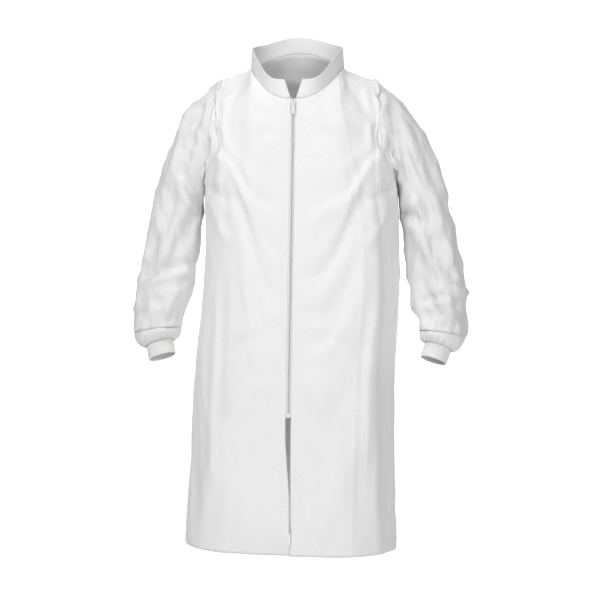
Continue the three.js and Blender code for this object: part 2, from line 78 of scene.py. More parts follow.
SHOULDER_HALF_WIDTH, SHOULDER_DROP, SHOULDER_SETBACK = 0.158, 0.068, 0.005
ARMHOLE_DEPTH, ARMHOLE_HALF_BREADTH = 0.228, 0.075
COLLAR_HEIGHT, COLLAR_SPREAD = 0.038, 0.013
SLEEVE_DROP, SLEEVE_STANDOFF = 0.528, 0.007
UPPER_SLEEVE_RADIUS, FOREARM_RADIUS, GATHER_RADIUS = 0.056, 0.057, 0.049
BAND_HEIGHT = 0.027
KNIT_HEIGHT, KNIT_RADIUS, KNIT_THICKNESS = 0.030, 0.026, 0.0025
ZIP_LENGTH, TAPE_WIDTH, TAPE_THICKNESS = 0.642, 0.015, 0.0008
COIL_WIDTH, COIL_HEIGHT, COIL_SPLIT = 0.0027, 0.0024, 0.0014
SLIDER_LENGTH, SLIDER_WIDTH = 0.011, 0.0092
CLEARANCE = 0.0003
CLOTH = 0.0005  # thickness shown, a little over the real 0.35 mm
FRAME_CLOTH = 0.0015  # thickness of the frame's own panels
HEM_TURNING = 0.018

HEM_Z = -COAT_LENGTH
SHOULDER_Z = -SHOULDER_DROP
UNDERARM_Z = SHOULDER_Z - ARMHOLE_DEPTH
FREE_Z = UNDERARM_Z - 0.130
FRONT_EDGE, EDGE_AT_HEM = SLIDER_WIDTH / 2 + 2 * CLEARANCE, 0.003
BAND_EDGE = COIL_SPLIT / 2 + TAPE_WIDTH + 0.001
FRONT_SLOPE = (FRONT_AT_HEM - FRONT_AT_NECK) / (COAT_LENGTH - NECK_FRONT_DROP)
ZIP_TILT = math.atan(FRONT_SLOPE)
SLIT_TOP_Z = -NECK_FRONT_DROP - ZIP_LENGTH * math.cos(ZIP_TILT)
NECK_END, SHOULDER_END = 0.28, 0.5  # shares of a panel's top edge, from the zip outwards
SIDES = (("left", 1), ("right", -1))
MIRROR = [-1, 1, 1]


def smooth(t):
    t = np.clip(t, 0, 1)
    return t * t * (3 - 2 * t)


def lerp(a, b, t):
    return a + (b - a) * t


def point(x, y, z):
    return np.array([x, y, z], float)


def unit(v):
    return v / np.linalg.norm(v)


def hermite(p0, m0, p1, m1, t):
    s = 1 - t
    return p0 * s * s * (1 + 2 * t) + m0 * s * s * t + p1 * t * t * (3 - 2 * t) - m1 * t * t * s


# ---- The body's shape, drawn for the wearer's left ----
def centre_front(z):
    return -FRONT_AT_NECK - FRONT_SLOPE * (-NECK_FRONT_DROP - z)


def half_width(z):
    widening = HEM_HALF_WIDTH - CHEST_HALF_WIDTH
    return CHEST_HALF_WIDTH + widening * (UNDERARM_Z - z) / (UNDERARM_Z - HEM_Z)


def front_edge(z):
    """How far the front's edge stands from the middle: closer below the zip."""
    return lerp(FRONT_EDGE, EDGE_AT_HEM, float(np.clip((SLIT_TOP_Z - z) / (SLIT_TOP_Z - HEM_Z), 0, 1)))


def on_section(s, z, front):
    """A point at that height, a share s of the way from the middle to the side seam."""
    inset = BAND_EDGE if front else 0
    reach = math.sin(s * math.pi / 2) ** (2 / SQUARENESS)
    depth = max(0.0, math.cos(s * math.pi / 2)) ** (2 / SQUARENESS)
    middle = centre_front(z) if front else BACK_DEPTH
    return point(inset + (half_width(z) - inset) * reach, middle * depth, z)


def on_armhole(turn, front):
    """A point on the armhole, turned from the shoulder down to the underarm."""
    across = (1 - math.cos(turn)) / 2
    y = (-1 if front else 1) * ARMHOLE_HALF_BREADTH * math.sin(turn)
    x = lerp(SHOULDER_HALF_WIDTH, CHEST_HALF_WIDTH, across)
    return point(x, SHOULDER_SETBACK + y, SHOULDER_Z - ARMHOLE_DEPTH * across)


def on_neck(turn, front):
    """A point on the neck seam, turned from the middle to the shoulder."""
    inset = BAND_EDGE if front else 0
    middle = -FRONT_AT_NECK if front else BACK_AT_NAPE
    middle_z = -NECK_FRONT_DROP if front else 0
    x = inset + (NECK_HALF_WIDTH - inset) * math.sin(turn)
    y = lerp(SHOULDER_SETBACK, middle, math.cos(turn))
    return point(x, y, lerp(-NECK_SIDE_DROP, middle_z, math.cos(turn) ** 2))


def top_edge(s, front):
    if s <= NECK_END:
        return on_neck(s / NECK_END * math.pi / 2, front)
    if s < SHOULDER_END:
        t = (s - NECK_END) / (SHOULDER_END - NECK_END)
        return lerp(on_neck(math.pi / 2, front), on_armhole(0, front), t)
    return on_armhole((s - SHOULDER_END) / (1 - SHOULDER_END) * math.pi, front)


def on_yoke(s, t, front):
    """A point between the panel's top edge and the level below which the panel hangs free."""
    start, end = top_edge(s, front), on_section(s, FREE_Z, front)
    chord = end - start
    length = np.linalg.norm(chord)
    lean = smooth(min(1, s / NECK_END))
    forward = unit(point(0, -1 if front else 1, -0.35)) * length
    upright = point(0, 0, -length)
    past_shoulder = max(0, (s - SHOULDER_END) / (1 - SHOULDER_END))
    rounding = lean * (1 - smooth(3 * past_shoulder))
    leave = lerp(chord, forward, rounding if front else 0.25 + 0.75 * rounding)
    arrive = lerp(chord, upright, lean if front else 1)
    return hermite(start, leave, end, arrive, t)


NECK_SPANS, SHOULDER_SPANS, ARMHOLE_SPANS = 10, 6, 18
COLUMNS = np.concatenate([
    np.linspace(0, NECK_END, NECK_SPANS + 1),
    np.linspace(NECK_END, SHOULDER_END, SHOULDER_SPANS + 1)[1:],
    np.linspace(SHOULDER_END, 1, ARMHOLE_SPANS + 1)[1:],
])
YOKE_ROWS, SKIRT_ROWS = 26, 46


def panel_grid(front):
    rows = [[on_yoke(s, t, front) for s in COLUMNS] for t in np.linspace(0, 1, YOKE_ROWS + 1)]
    heights = np.linspace(FREE_Z, HEM_Z, SKIRT_ROWS + 1)[1:]
    rows += [[on_section(s, z, front) for s in COLUMNS] for z in heights]
    if front:
        for row in rows:
            edge = front_edge(row[0][2])
            row[:0] = [point(lerp(edge, row[0][0], share), row[0][1], row[0][2]) for share in (0, 0.5)]
    return np.array(rows)


# ---- The sleeve's shape ----
def station(share, across, deep, shift, standoff):
    """A section of the sleeve: its middle, its half-width and its half-depth."""
    z = SHOULDER_Z - share * SLEEVE_DROP
    return point(half_width(z) + SLEEVE_STANDOFF + standoff + across, shift, z), across, deep


STATIONS = [
    station(0.42, UPPER_SLEEVE_RADIUS - 0.004, UPPER_SLEEVE_RADIUS + 0.008, 0.004, 0),
    station(0.62, UPPER_SLEEVE_RADIUS, UPPER_SLEEVE_RADIUS + 0.006, 0.002, 0.007),
    station(0.76, FOREARM_RADIUS, FOREARM_RADIUS + 0.004, -0.002, 0.015),
    station(0.87, FOREARM_RADIUS, FOREARM_RADIUS, -0.010, 0.018),
    station(0.95, FOREARM_RADIUS - 0.006, FOREARM_RADIUS - 0.006, -0.017, 0.027),
    station(1, GATHER_RADIUS, GATHER_RADIUS, -0.020, 0.025),
]
LAST = len(STATIONS) - 1
SLEEVE_END = STATIONS[LAST][0]
ARM_AXIS = unit(SLEEVE_END - STATIONS[LAST - 1][0])
CUFF_AXIS = unit(point(-0.3, -0.22, -0.93))


def on_ring(centre, axis, across, deep, turn):
    outward = -unit(np.cross(point(0, 1, 0), axis))
    backward = -unit(np.cross(axis, outward))
    return centre + outward * across * math.cos(turn) - backward * deep * math.sin(turn)


def station_axis(i):
    return unit(STATIONS[min(LAST, i + 1)][0] - STATIONS[max(0, i - 1)][0])


def station_point(i, turn):
    centre, across, deep = STATIONS[i]
    return on_ring(centre, station_axis(i), across, deep, turn)


def on_sleeve_cap(turn, t):
    around = turn if turn <= math.pi else 2 * math.pi - turn
    start, end = on_armhole(around, turn <= math.pi), station_point(0, turn)
    length = 0.65 * np.linalg.norm(end - start)
    leave = unit(point(1, 0, lerp(-0.25, -1.2, (1 - math.cos(turn)) / 2))) * length
    return hermite(start, leave, end, station_axis(0) * length, t)


CAP_ROWS, TUBE_ROWS = 16, 27
TURNS = np.linspace(0, 2 * math.pi, 2 * ARMHOLE_SPANS + 1)


def sleeve_grid():
    rows = [[on_sleeve_cap(turn, t) for turn in TURNS] for t in np.linspace(0, 1, CAP_ROWS + 1)]
    fixed = np.array([[station_point(i, turn) for turn in TURNS] for i in range(LAST + 1)])
    heights = np.array([s[0][2] for s in STATIONS])
    slopes = np.gradient(fixed, heights, axis=0)
    for z in np.linspace(heights[0], heights[-1], TUBE_ROWS + 1)[1:]:
        i = min(LAST - 1, int(np.searchsorted(-heights, -z + 1e-9)) - 1)
        span = heights[i + 1] - heights[i]
        leave, arrive = slopes[i] * span, slopes[i + 1] * span
        rows.append(hermite(fixed[i], leave, fixed[i + 1], arrive, (z - heights[i]) / span))
    return np.array(rows)


# ---- Meshes from grids ----
PANELS = ("back", "left_front", "right_front", "left_sleeve", "right_sleeve")


def lengths_along(grid, axis):
    steps = np.linalg.norm(np.diff(grid, axis=axis), axis=2)
    start = np.zeros_like(np.take(steps, [0], axis=axis))
    return np.concatenate([start, np.cumsum(steps, axis=axis)], axis=axis)


class Patchwork:
    """Grids of points sewn into one mesh where their edges meet. Each face keeps the number of its
    panel, and its corners keep their place on the flat cut, in metres."""

    def __init__(self):
        self.points, self.quads, self.panels, self.cuts, self.count = [], [], [], [], 0

    def add(self, grid, panel=0, side=1, centred=False):
        rows, columns = grid.shape[:2]
        cut = np.stack([lengths_along(grid, 1), -lengths_along(grid, 0)], axis=2)
        if centred:
            cut[..., 0] -= cut[:, columns // 2, 0][:, None]
        index = np.arange(rows * columns).reshape(rows, columns) + self.count
        corners = [index[:-1, :-1], index[:-1, 1:], index[1:, 1:], index[1:, :-1]]
        self.points.append((grid * [side, 1, 1]).reshape(-1, 3))
        self.cuts.append((cut * [side, 1]).reshape(-1, 2))
        self.quads.append(np.stack(corners, axis=2).reshape(-1, 4))
        self.panels.append(np.full((rows - 1) * (columns - 1), panel))
        self.count += rows * columns

    def object(self, name):
        points, quads = np.concatenate(self.points), np.concatenate(self.quads)
        mesh = bpy.data.meshes.new(name)
        mesh.from_pydata(points.tolist(), [], quads.tolist())
        mesh.polygons.foreach_set("material_index", np.concatenate(self.panels))
        cut = mesh.uv_layers.new(name="cut")
        cut.data.foreach_set("uv", np.concatenate(self.cuts)[quads.ravel()].ravel())
        bm = bmesh.new()
        bm.from_mesh(mesh)
        bmesh.ops.remove_doubles(bm, verts=bm.verts, dist=2e-5)
        bmesh.ops.recalc_face_normals(bm, faces=bm.faces)
        bm.to_mesh(mesh)
        bm.free()
        return linked(name, mesh)


def mesh_of(bm, name):
    """The edited shape as a new mesh."""
    mesh = bpy.data.meshes.new(name)
    bm.to_mesh(mesh)
    bm.free()
    return mesh


def positions(obj):
    co = np.zeros(len(obj.data.vertices) * 3)
    obj.data.vertices.foreach_get("co", co)
    return co.reshape(-1, 3)


def move_to(obj, co):
    obj.data.vertices.foreach_set("co", np.asarray(co, float).ravel())
    obj.data.update()


def normals(obj):
    n = np.zeros(len(obj.data.vertices) * 3)
    obj.data.vertices.foreach_get("normal", n)
    return n.reshape(-1, 3)


def apply_modifiers(obj):
    graph = bpy.context.evaluated_depsgraph_get()
    graph.update()
    mesh = bpy.data.meshes.new_from_object(obj.evaluated_get(graph), depsgraph=graph)
    obj.modifiers.clear()
    obj.data = mesh
    return obj


def give_wall(obj, thickness, offset=-1):
    """Makes an open surface into cloth of that thickness."""
    wall = obj.modifiers.new("wall", "SOLIDIFY")
    wall.thickness, wall.offset, wall.use_even_offset = thickness, offset, False
    return apply_modifiers(obj)


def sewn_coat():
    patches = Patchwork()
    front, back_half, sleeve = panel_grid(True), panel_grid(False), sleeve_grid()
    back = np.concatenate([(back_half * MIRROR)[:, :0:-1], back_half], axis=1)
    patches.add(back, PANELS.index("back"), centred=True)
    for name, side in SIDES:
        patches.add(front, PANELS.index(name + "_front"), side)
        patches.add(sleeve, PANELS.index(name + "_sleeve"), side)
    return patches.object("sewn_coat")


def vertex_panels(obj):
    """For each vertex, the set of panels round it as one row of booleans."""
    touching = np.zeros((len(obj.data.vertices), len(PANELS)), bool)
    for p in obj.data.polygons:
        touching[list(p.vertices), p.material_index] = True
    return touching


def on_arms(touching):
    return touching[:, 3:].any(axis=1)


def on_fronts(touching):
    return touching[:, 1:3].any(axis=1)


def out_from_neck(points):
    """How far out each point stands from the middle of the neck, in neck widths."""
    return np.hypot(points[:, 0] / NECK_HALF_WIDTH, (points[:, 1] + 0.02) / 0.095)


# ---- Draping ----
DRAPE_FRAMES = 36
SLEEVE_DRIFT, BODY_DRIFT = 0.035, 0.022  # the farthest that draping may move a point


def body_form(coat):
    """What fills the coat while it is draped: the coat itself, pulled in from its own cloth."""
    form = linked("form", coat.data.copy())
    rest, out = positions(form), normals(form)
    down = (SHOULDER_Z - rest[:, 2]) / (SHOULDER_Z - HEM_Z)
    inset = np.where(on_arms(vertex_panels(form)), 0.018, 0.006 + 0.008 * smooth((down - 0.1) * 1.6))
    move_to(form, rest - out * inset[:, None])
    form.modifiers.new("thin", "DECIMATE").ratio = 0.35
    apply_modifiers(form)
    form.modifiers.new("collide", "COLLISION")
    form.collision.thickness_outer = 0.002
    form.collision.cloth_friction = 12
    return form


def hold_weights(coat):
    """1 where the cloth is sewn to something firm: the zip, the neck, the shoulders, the cuffs."""
    rest, touching = positions(coat), vertex_panels(coat)
    x, y, z = np.abs(rest[:, 0]), rest[:, 1], rest[:, 2]
    in_sleeve = on_arms(touching)
    by_zip = on_fronts(touching) & (x < BAND_EDGE + 1e-4) & (y < 0) & (z > SLIT_TOP_Z - 0.004)
    by_neck = (out_from_neck(rest) < 1.04) & (z > -NECK_FRONT_DROP - 0.002) & ~in_sleeve
    on_shoulder = (z > SHOULDER_Z - 0.012) & (np.abs(y - SHOULDER_SETBACK) < 0.006)
    by_cuff = (rest - SLEEVE_END) @ ARM_AXIS > -0.004
    by_cuff |= ((rest * MIRROR - SLEEVE_END) @ ARM_AXIS > -0.004) & (rest[:, 0] < 0)
    by_cuff &= in_sleeve & (z < -0.5)
    return np.where(by_zip | by_neck | on_shoulder | by_cuff, 1.0, 0.0)


def drape(coat):
    """Hangs the cloth under its own weight, and keeps every point near its place on the cut."""
    rest = positions(coat)
    hold = hold_weights(coat)
    held = coat.vertex_groups.new(name="held")
    for i in np.nonzero(hold)[0]:
        held.add([int(i)], float(hold[i]), "REPLACE")
    form = body_form(coat)
    cloth = coat.modifiers.new("hang", "CLOTH")
    cloth.settings.quality = 6
    cloth.settings.mass = 0.10
    cloth.settings.air_damping = 1.5
    cloth.settings.tension_stiffness = 25
    cloth.settings.compression_stiffness = 12
    cloth.settings.shear_stiffness = 8
    cloth.settings.bending_stiffness = 0.25
    cloth.settings.bending_damping = 0.8
    cloth.settings.vertex_group_mass = "held"
    cloth.settings.pin_stiffness = 1
    cloth.settings.shrink_min = -0.018
    cloth.collision_settings.collision_quality = 2
    cloth.collision_settings.distance_min = 0.003
    cloth.collision_settings.use_self_collision = False
    cloth.point_cache.frame_start = 1
    cloth.point_cache.frame_end = DRAPE_FRAMES
    for f in range(1, DRAPE_FRAMES + 1):
        bpy.context.scene.frame_set(f)
    apply_modifiers(coat)
    bpy.context.scene.frame_set(1)
    bpy.data.objects.remove(form)
    moved = positions(coat) - rest
    far = np.linalg.norm(moved, axis=1)
    most = np.where(on_arms(vertex_panels(coat)), SLEEVE_DRIFT, BODY_DRIFT)
    share = most * np.tanh(far / most) / np.maximum(far, 1e-9)
    move_to(coat, rest + moved * share[:, None])


coat = sewn_coat()
drape(coat)
coat.vertex_groups.clear()


# ---- How this coat hangs ----
def blend_through(table, t):
    """A value read smoothly from (place, value) pairs in falling order of place."""
    places, values = zip(*table[::-1])
    return np.interp(t, places, values)


BODY_SWAY = [(-0.06, 0), (-0.16, 0.004), (-0.22, 0.008), (-0.30, 0.011), (-0.415, 0.0145), (-0.50, 0.0135),
             (-0.56, 0.010), (-0.62, 0.005), (-0.70, 0.0005), (-0.80, 0.0)]
ARM_SWAY = [(-0.40, 0.0), (-0.50, 0.004), (-0.56, 0.008), (-0.62, 0.012), (-0.70, 0.012)]
SHOULDER_FULLNESS = [(-0.055, 0), (-0.085, 0.010), (-0.115, 0.015), (-0.15, 0.010), (-0.20, 0.003),
                     (-0.25, 0)]
SLIT_CLOSES = (0.0141, 0.0053)  # how far each front's edge moves to the left: the right's, the left's
BACK_HEM_DROP = 0.013


def swayed(points):
    """The coat hangs a little to its wearer's left between the neck and the hem, is full at the
    shoulders and hangs lower behind. The zip stays where it is."""
    points = np.array(points, float)
    x, z = points[..., 0], points[..., 2]
    off_zip = smooth((np.abs(x) - 0.02) / 0.11)
    on_arm = smooth((np.abs(x) - 0.215) / 0.03)
    moved = points.copy()
    moved[..., 0] += blend_through(BODY_SWAY, z) * off_zip
    moved[..., 0] += blend_through(ARM_SWAY, z) * on_arm * (x > 0)
    moved[..., 0] -= blend_through(ARM_SWAY, z) * on_arm * (x < 0) * 0.35
    by_slit = smooth((SLIT_TOP_Z - z) / 0.2) * (1 - smooth(np.abs(x) / 0.14)) * (points[..., 1] < 0)
    moved[..., 0] += by_slit * np.where(x < 0, *SLIT_CLOSES)
    lower = BACK_HEM_DROP * smooth((-0.85 - z) / 0.18) * smooth(points[..., 1] / 0.1)
    moved[..., 2] -= lower * (1 - smooth(np.abs(x) / 0.16))
    moved[..., 0] += np.sign(x) * blend_through(SHOULDER_FULLNESS, z) * smooth((np.abs(x) - 0.11) / 0.08)
    return moved


FOLD_DEPTH = 1.5
# Each fold: from and to as (distance out from the middle, height), then its height and half-width.
LEFT_ARM_FOLDS = [
    ((0.205, -0.140), (0.322, -0.490), 0.0065, 0.020), ((0.219, -0.205), (0.295, -0.370), 0.0040, 0.015),
    ((0.285, -0.504), (0.355, -0.508), 0.0060, 0.013), ((0.245, -0.535), (0.290, -0.510), -0.0070, 0.014),
    ((0.292, -0.506), (0.318, -0.600), 0.0045, 0.016), ((0.205, -0.340), (0.252, -0.375), -0.0090, 0.020),
    ((0.252, -0.548), (0.268, -0.585), -0.0050, 0.012), ((0.262, -0.400), (0.276, -0.490), -0.0035, 0.018),
]
RIGHT_ARM_FOLDS = [
    ((0.205, -0.120), (0.268, -0.255), 0.0055, 0.015), ((0.238, -0.290), (0.195, -0.350), -0.0090, 0.020),
    ((0.258, -0.255), (0.232, -0.345), 0.0045, 0.016), ((0.232, -0.346), (0.190, -0.343), -0.0060, 0.013),
    ((0.325, -0.487), (0.215, -0.440), -0.0070, 0.020), ((0.335, -0.508), (0.235, -0.468), 0.0060, 0.018),
    ((0.240, -0.500), (0.288, -0.585), 0.0045, 0.015), ((0.300, -0.520), (0.270, -0.590), -0.0040, 0.016),
]
FRONT_FOLDS = [
    ((0.030, -0.150), (0.125, -0.200), 0.0022, 0.016), ((0.040, -0.175), (0.140, -0.260), -0.0022, 0.018),
    ((0.195, -0.300), (0.120, -0.330), -0.0030, 0.018), ((0.190, -0.330), (0.135, -0.420), 0.0026, 0.016),
    ((0.060, -0.600), (0.150, -0.640), -0.0022, 0.022), ((0.165, -0.520), (0.150, -0.900), 0.0026, 0.016),
]


def fold(points, out, folds, side):
    """How far each point is pushed out by creases that cross the front of the cloth."""
    x, z = points[:, 0] * side, points[:, 2]
    facing = smooth(-out[:, 1] * 2.2 + 0.25)
    push = np.zeros(len(points))
    for (x0, z0), (x1, z1), height, width in folds:
        length = math.hypot(x1 - x0, z1 - z0)
        ax, az = (x1 - x0) / length, (z1 - z0) / length
        along = ((x - x0) * ax + (z - z0) * az) / length
        across = (x - x0) * -az + (z - z0) * ax
        bend = across + 0.004 * np.sin(along * 5 + x0 * 40)
        sharp = np.maximum(0, 1 - np.sqrt(bend ** 2 + 1e-6) / width) ** 1.4
        ends = smooth((along + 0.12) / 0.3) * smooth((1.12 - along) / 0.3)
        push += FOLD_DEPTH * height * sharp * ends * facing * (x > 0)
    return push


SLEEVE_SWELL, BODY_SWELL = 0.0045, 0.0012
SLEEVE_CREASE, CUFF_CREASE, BODY_CREASE = 0.0085, 0.006, 0.0016
SLEEVE_FINE, CUFF_FINE = 0.0024, 0.0020
TAPE_SEAT = 0.0011  # how far back the fronts lie onto the zip's tapes


def crinkle(points, touching):
    """Small creases of cloth that has lain folded, deeper on the sleeves and near the cuffs."""
    on_arm = on_arms(touching)
    push = np.zeros(len(points))
    for i, p in enumerate(points):
        swell = noise.noise(Vector(p) * 17)
        crease = abs(noise.noise(Vector((p[0] * 24 + 7, p[1] * 24, p[2] * 17)))) - 0.2
        fine = abs(noise.noise(Vector((p[0] * 60, p[1] * 60 + 3, p[2] * 46)))) - 0.2
        if on_arm[i]:
            by_cuff = math.exp(-(((p[2] + 0.57) / 0.09) ** 2))
            push[i] = swell * SLEEVE_SWELL - crease * (SLEEVE_CREASE + CUFF_CREASE * by_cuff)
            push[i] -= fine * (SLEEVE_FINE + CUFF_FINE * by_cuff)
        else:
            push[i] = swell * BODY_SWELL - crease * BODY_CREASE
    return push


def keep_folds(coat):
    """Adds the folds and creases, except beside the zip, the neck and the cuffs, and lays the
    fronts back onto the zip's tapes."""
    rest, out, touching = positions(coat), normals(coat), vertex_panels(coat)
    on_arm, on_front = on_arms(touching), on_fronts(touching)
    aside = np.abs(rest[:, 0])
    arm_folds = fold(rest, out, LEFT_ARM_FOLDS, 1) + fold(rest, out, RIGHT_ARM_FOLDS, -1)
    front_folds = fold(rest, out, FRONT_FOLDS, 1) + fold(rest, out, FRONT_FOLDS[1:], -1)
    push = np.where(on_arm, arm_folds, 0)
    push += np.where(on_front, front_folds, 0)
    push += crinkle(rest, touching)
    by_zip = np.where(rest[:, 1] < 0, smooth((aside - 0.018) / 0.03), 1)
    by_neck = np.where(rest[:, 2] > -0.14, smooth((out_from_neck(rest) - 1.0) / 0.25), 1)
    above_band = smooth((rest[:, 2] - SLEEVE_END[2] - 0.012) / 0.03)
    by_band = np.where((aside > 0.24) & on_arm, above_band, 1)
    kept = rest + out * (push * by_zip * by_neck * by_band)[:, None]
    on_tape = (1 - smooth((aside - 0.012) / 0.012)) * smooth((rest[:, 2] - SLIT_TOP_Z) / 0.02)
    below_neck = smooth((-NECK_FRONT_DROP + 0.02 - rest[:, 2]) / 0.02)
    kept[:, 1] += TAPE_SEAT * on_tape * on_front * below_neck
    move_to(coat, swayed(kept))


# ---- Finishes ----
class Value:
    """A number that varies over a surface. Sums on it add the Math nodes that work it out."""

    def __init__(self, tree, socket):
        self.tree, self.socket = tree, socket

    def sum(self, operation, *numbers, clamp=False):
        node = self.tree.nodes.new("ShaderNodeMath")
        node.operation, node.use_clamp = operation, clamp
        for socket, number in zip(node.inputs, numbers):
            if isinstance(number, Value):
                self.tree.links.new(number.socket, socket)
            else:
                socket.default_value = number
        return Value(self.tree, node.outputs[0])

    def beside(self, output):
        """Another output of the node that this value comes from."""
        return Value(self.tree, self.socket.node.outputs[output])

    def __add__(self, other):
        return self.sum("ADD", self, other)

    __radd__ = __add__

    def __sub__(self, other):
        return self.sum("SUBTRACT", self, other)

    def __rsub__(self, other):
        return self.sum("SUBTRACT", other, self)

    def __mul__(self, other):
        return self.sum("MULTIPLY", self, other)

    __rmul__ = __mul__

    def __pow__(self, other):
        return self.sum("POWER", self, other)

    def size(self):
        return self.sum("ABSOLUTE", self)

    def sine(self):
        return self.sum("SINE", self)

    def above(self, low, high):
        """0 below low, 1 above high and a straight line between them."""
        return self.sum("MULTIPLY", self - low, 1 / (high - low), clamp=True)


class Tree:
    """A node tree, made by adding one node at a time."""

    def node(self, kind, settings=None, inputs=None, output=0):
        node = self.tree.nodes.new(kind)
        for key, value in (settings or {}).items():
            setattr(node, key, value)
        for key, value in (inputs or {}).items():
            if isinstance(value, Value):
                self.tree.links.new(value.socket, node.inputs[key])
            else:
                node.inputs[key].default_value = value
        return Value(self.tree, node.outputs[output]) if node.outputs else None


class Finish(Tree):
    """A material."""

    def __init__(self, name):
        self.material = bpy.data.materials.new(name)
        self.material.use_nodes = True
        self.tree = self.material.node_tree
        self.tree.nodes.clear()

    def tint(self, low, high, share):
        """The colour between low and high."""
        mixed = {0: share, 6: (*low, 1), 7: (*high, 1)}
        return self.node("ShaderNodeMix", {"data_type": "RGBA"}, mixed, output=2)

    def cut(self):
        """The two places on the flat cut, in metres, and the pair as a vector."""
        flat = self.node("ShaderNodeUVMap", {"uv_map": "cut"})
        along = self.node("ShaderNodeSeparateXYZ", None, {0: flat})
        return along, along.beside(1), flat

    def grain(self, vector, scale, detail=2.0, kind="FBM", roughness=0.5):
        settings = {"noise_dimensions": "3D", "noise_type": kind, "normalize": True}
        inputs = {"Vector": vector, "Scale": scale, "Detail": detail, "Roughness": roughness}
        return self.node("ShaderNodeTexNoise", settings, inputs)

    def relief(self, height):
        """A bump of that height, in metres."""
        return self.node("ShaderNodeBump", None, {"Height": height, "Strength": 1.0, "Distance": 1.0})

    def finish(self, **inputs):
        surface = {k.replace("_", " "): v for k, v in inputs.items()}
        shader = self.node("ShaderNodeBsdfPrincipled", None, surface)
        self.node("ShaderNodeOutputMaterial", None, {"Surface": shader})
        return self.material


def scaled(finish, vector, x, y, z=1.0):
    return finish.node("ShaderNodeMapping", None, {"Vector": vector, "Scale": (x, y, z)})


def nonwoven(name, crumple, tone, press_folds=()):
    """Spunbonded cloth: point bonds pressed in a diamond grid, loose fibres, soft crumples, and
    the folds pressed in by its packing, at these distances across the cut."""
    f = Finish(name)
    along, down, flat = f.cut()
    across_grid, down_grid = along * (math.pi / 0.0011), down * (math.pi / 0.0016)
    bonds = (across_grid.sine() * down_grid.sine()).above(0.45, 0.9)
    fibres = f.grain(scaled(f, flat, 1, 0.35), 1500, 3)
    cloud = f.grain(flat, 160, 3)
    ridges = f.grain(flat, 34, 3, "RIDGED_MULTIFRACTAL", 0.45)
    swell = f.grain(flat, 16, 2)
    height = ridges * (0.0011 * crumple) + swell * (0.004 * crumple) + fibres * 0.00002 - bonds * 0.00006
    for place in press_folds:
        beside = (along - place).size()
        height = height + (1 - beside.above(0, 0.010)) * 0.0009
    shade = cloud.above(0.3, 0.7) * 0.5 + fibres.above(0.35, 0.65) * 0.3 + (1 - bonds) * 0.2
    low, high = tone - 0.045, tone + 0.02
    colour = f.tint((low, low, low * 0.995), (high, high, high * 0.997), shade)
    rough = 0.72 + fibres * 0.2 - bonds * 0.18
    return f.finish(
        Base_Color=colour, Roughness=rough, Normal=f.relief(height),
        Sheen_Weight=0.12, Sheen_Roughness=0.5, IOR=1.4,
    )


# ---- Cutting the draped coat into its panels ----
SEAM_DEPTH, SEAM_WIDTH, PUCKER_WIDTH = 0.0016, 0.0045, 0.016
PLEAT_DEPTH, PLEAT_LENGTH = 0.0035, 0.028


def pull_in_seams(coat):
    """Draws the cloth in along every seam, and puckers it beside the stitches."""
    rest, out, touching = positions(coat), normals(coat), vertex_panels(coat)
    on_seam = np.nonzero(touching.sum(axis=1) > 1)[0]
    seam = KDTree(len(on_seam))
    for i in on_seam:
        seam.insert(rest[i], int(i))
    seam.balance()
    depth = np.zeros(len(rest))
    for i, p in enumerate(rest):
        near = seam.find(p)[2]
        if near < 0.04:
            pucker = noise.noise(Vector(p) * 95) * 0.0022 + noise.noise(Vector(p) * 41) * 0.0016
            groove = SEAM_DEPTH * math.exp(-((near / SEAM_WIDTH) ** 2))
            depth[i] = pucker * math.exp(-((near / PUCKER_WIDTH) ** 2)) - groove
    move_to(coat, rest + out * depth[:, None])


def gather_cuffs(coat):
    """Small pleats where each sleeve is gathered onto its band."""
    rest, out, touching = positions(coat), normals(coat), vertex_panels(coat)
    offset = rest * np.where(rest[:, :1] < 0, MIRROR, [1, 1, 1]) - SLEEVE_END
    above = -(offset @ ARM_AXIS)
    turn = np.arctan2(offset[:, 1], offset[:, 0]) + np.where(rest[:, 0] < 0, 0.7, 0)
    wave = np.sin(13 * turn) * 0.6 + np.sin(7 * turn + 1.3) * 0.5
    near_end = np.exp(-((above / PLEAT_LENGTH) ** 2)) * (1 - np.exp(-((above / 0.006) ** 2)))
    sleeve_end = on_arms(touching) & (rest[:, 2] < -0.5)
    move_to(coat, rest + out * (wave * near_end * sleeve_end * PLEAT_DEPTH)[:, None])


def cut_out(coat, name, material):
    """The panel of that name, as a piece with the cloth's thickness."""
    number = PANELS.index(name)
    bm = bmesh.new()
    bm.from_mesh(coat.data)
    bmesh.ops.delete(bm, geom=[f for f in bm.faces if f.material_index != number], context="FACES")
    for face in bm.faces:
        face.material_index = 0
        face.smooth = True
    mesh = mesh_of(bm, name)
    mesh.materials.append(material)
    return give_wall(linked(name + "_cloth", mesh), CLOTH)


finer = coat.modifiers.new("finer", "SUBSURF")
finer.levels, finer.render_levels, finer.boundary_smooth = 1, 1, "PRESERVE_CORNERS"
apply_modifiers(coat)
pull_in_seams(coat)
gather_cuffs(coat)
keep_folds(coat)

body_cloth = nonwoven("nonwoven_body", 0.35, 0.88, (0.128,))
back_cloth = nonwoven("nonwoven_back", 0.4, 0.87, (-0.14, 0.14))
# The sleeves are the same cloth as the body, given a darker tone (0.81 against 0.88) as painted shade for
# sleeves turned away from the light; the cuff bands share it.
shaded_sleeve_cloth = nonwoven("nonwoven_sleeve_painted_shade", 1.3, 0.81)
panels = {}
for name in PANELS:
    cloth = back_cloth if name == "back" else shaded_sleeve_cloth if "sleeve" in name else body_cloth
    panels[name] = cut_out(coat, name, cloth)
bpy.data.objects.remove(coat)

FOLD_TOP = point(0, 0, SLIT_TOP_Z - 0.002)
FOLD_ACROSS = unit(point(-0.898, 0, -0.440))  # from the fold line towards the corner
FOLD_REACH = 0.010  # a distance on each side of the fold line
SLEEVE_BEND = 0.16  # a length of sleeve, out from the underarm
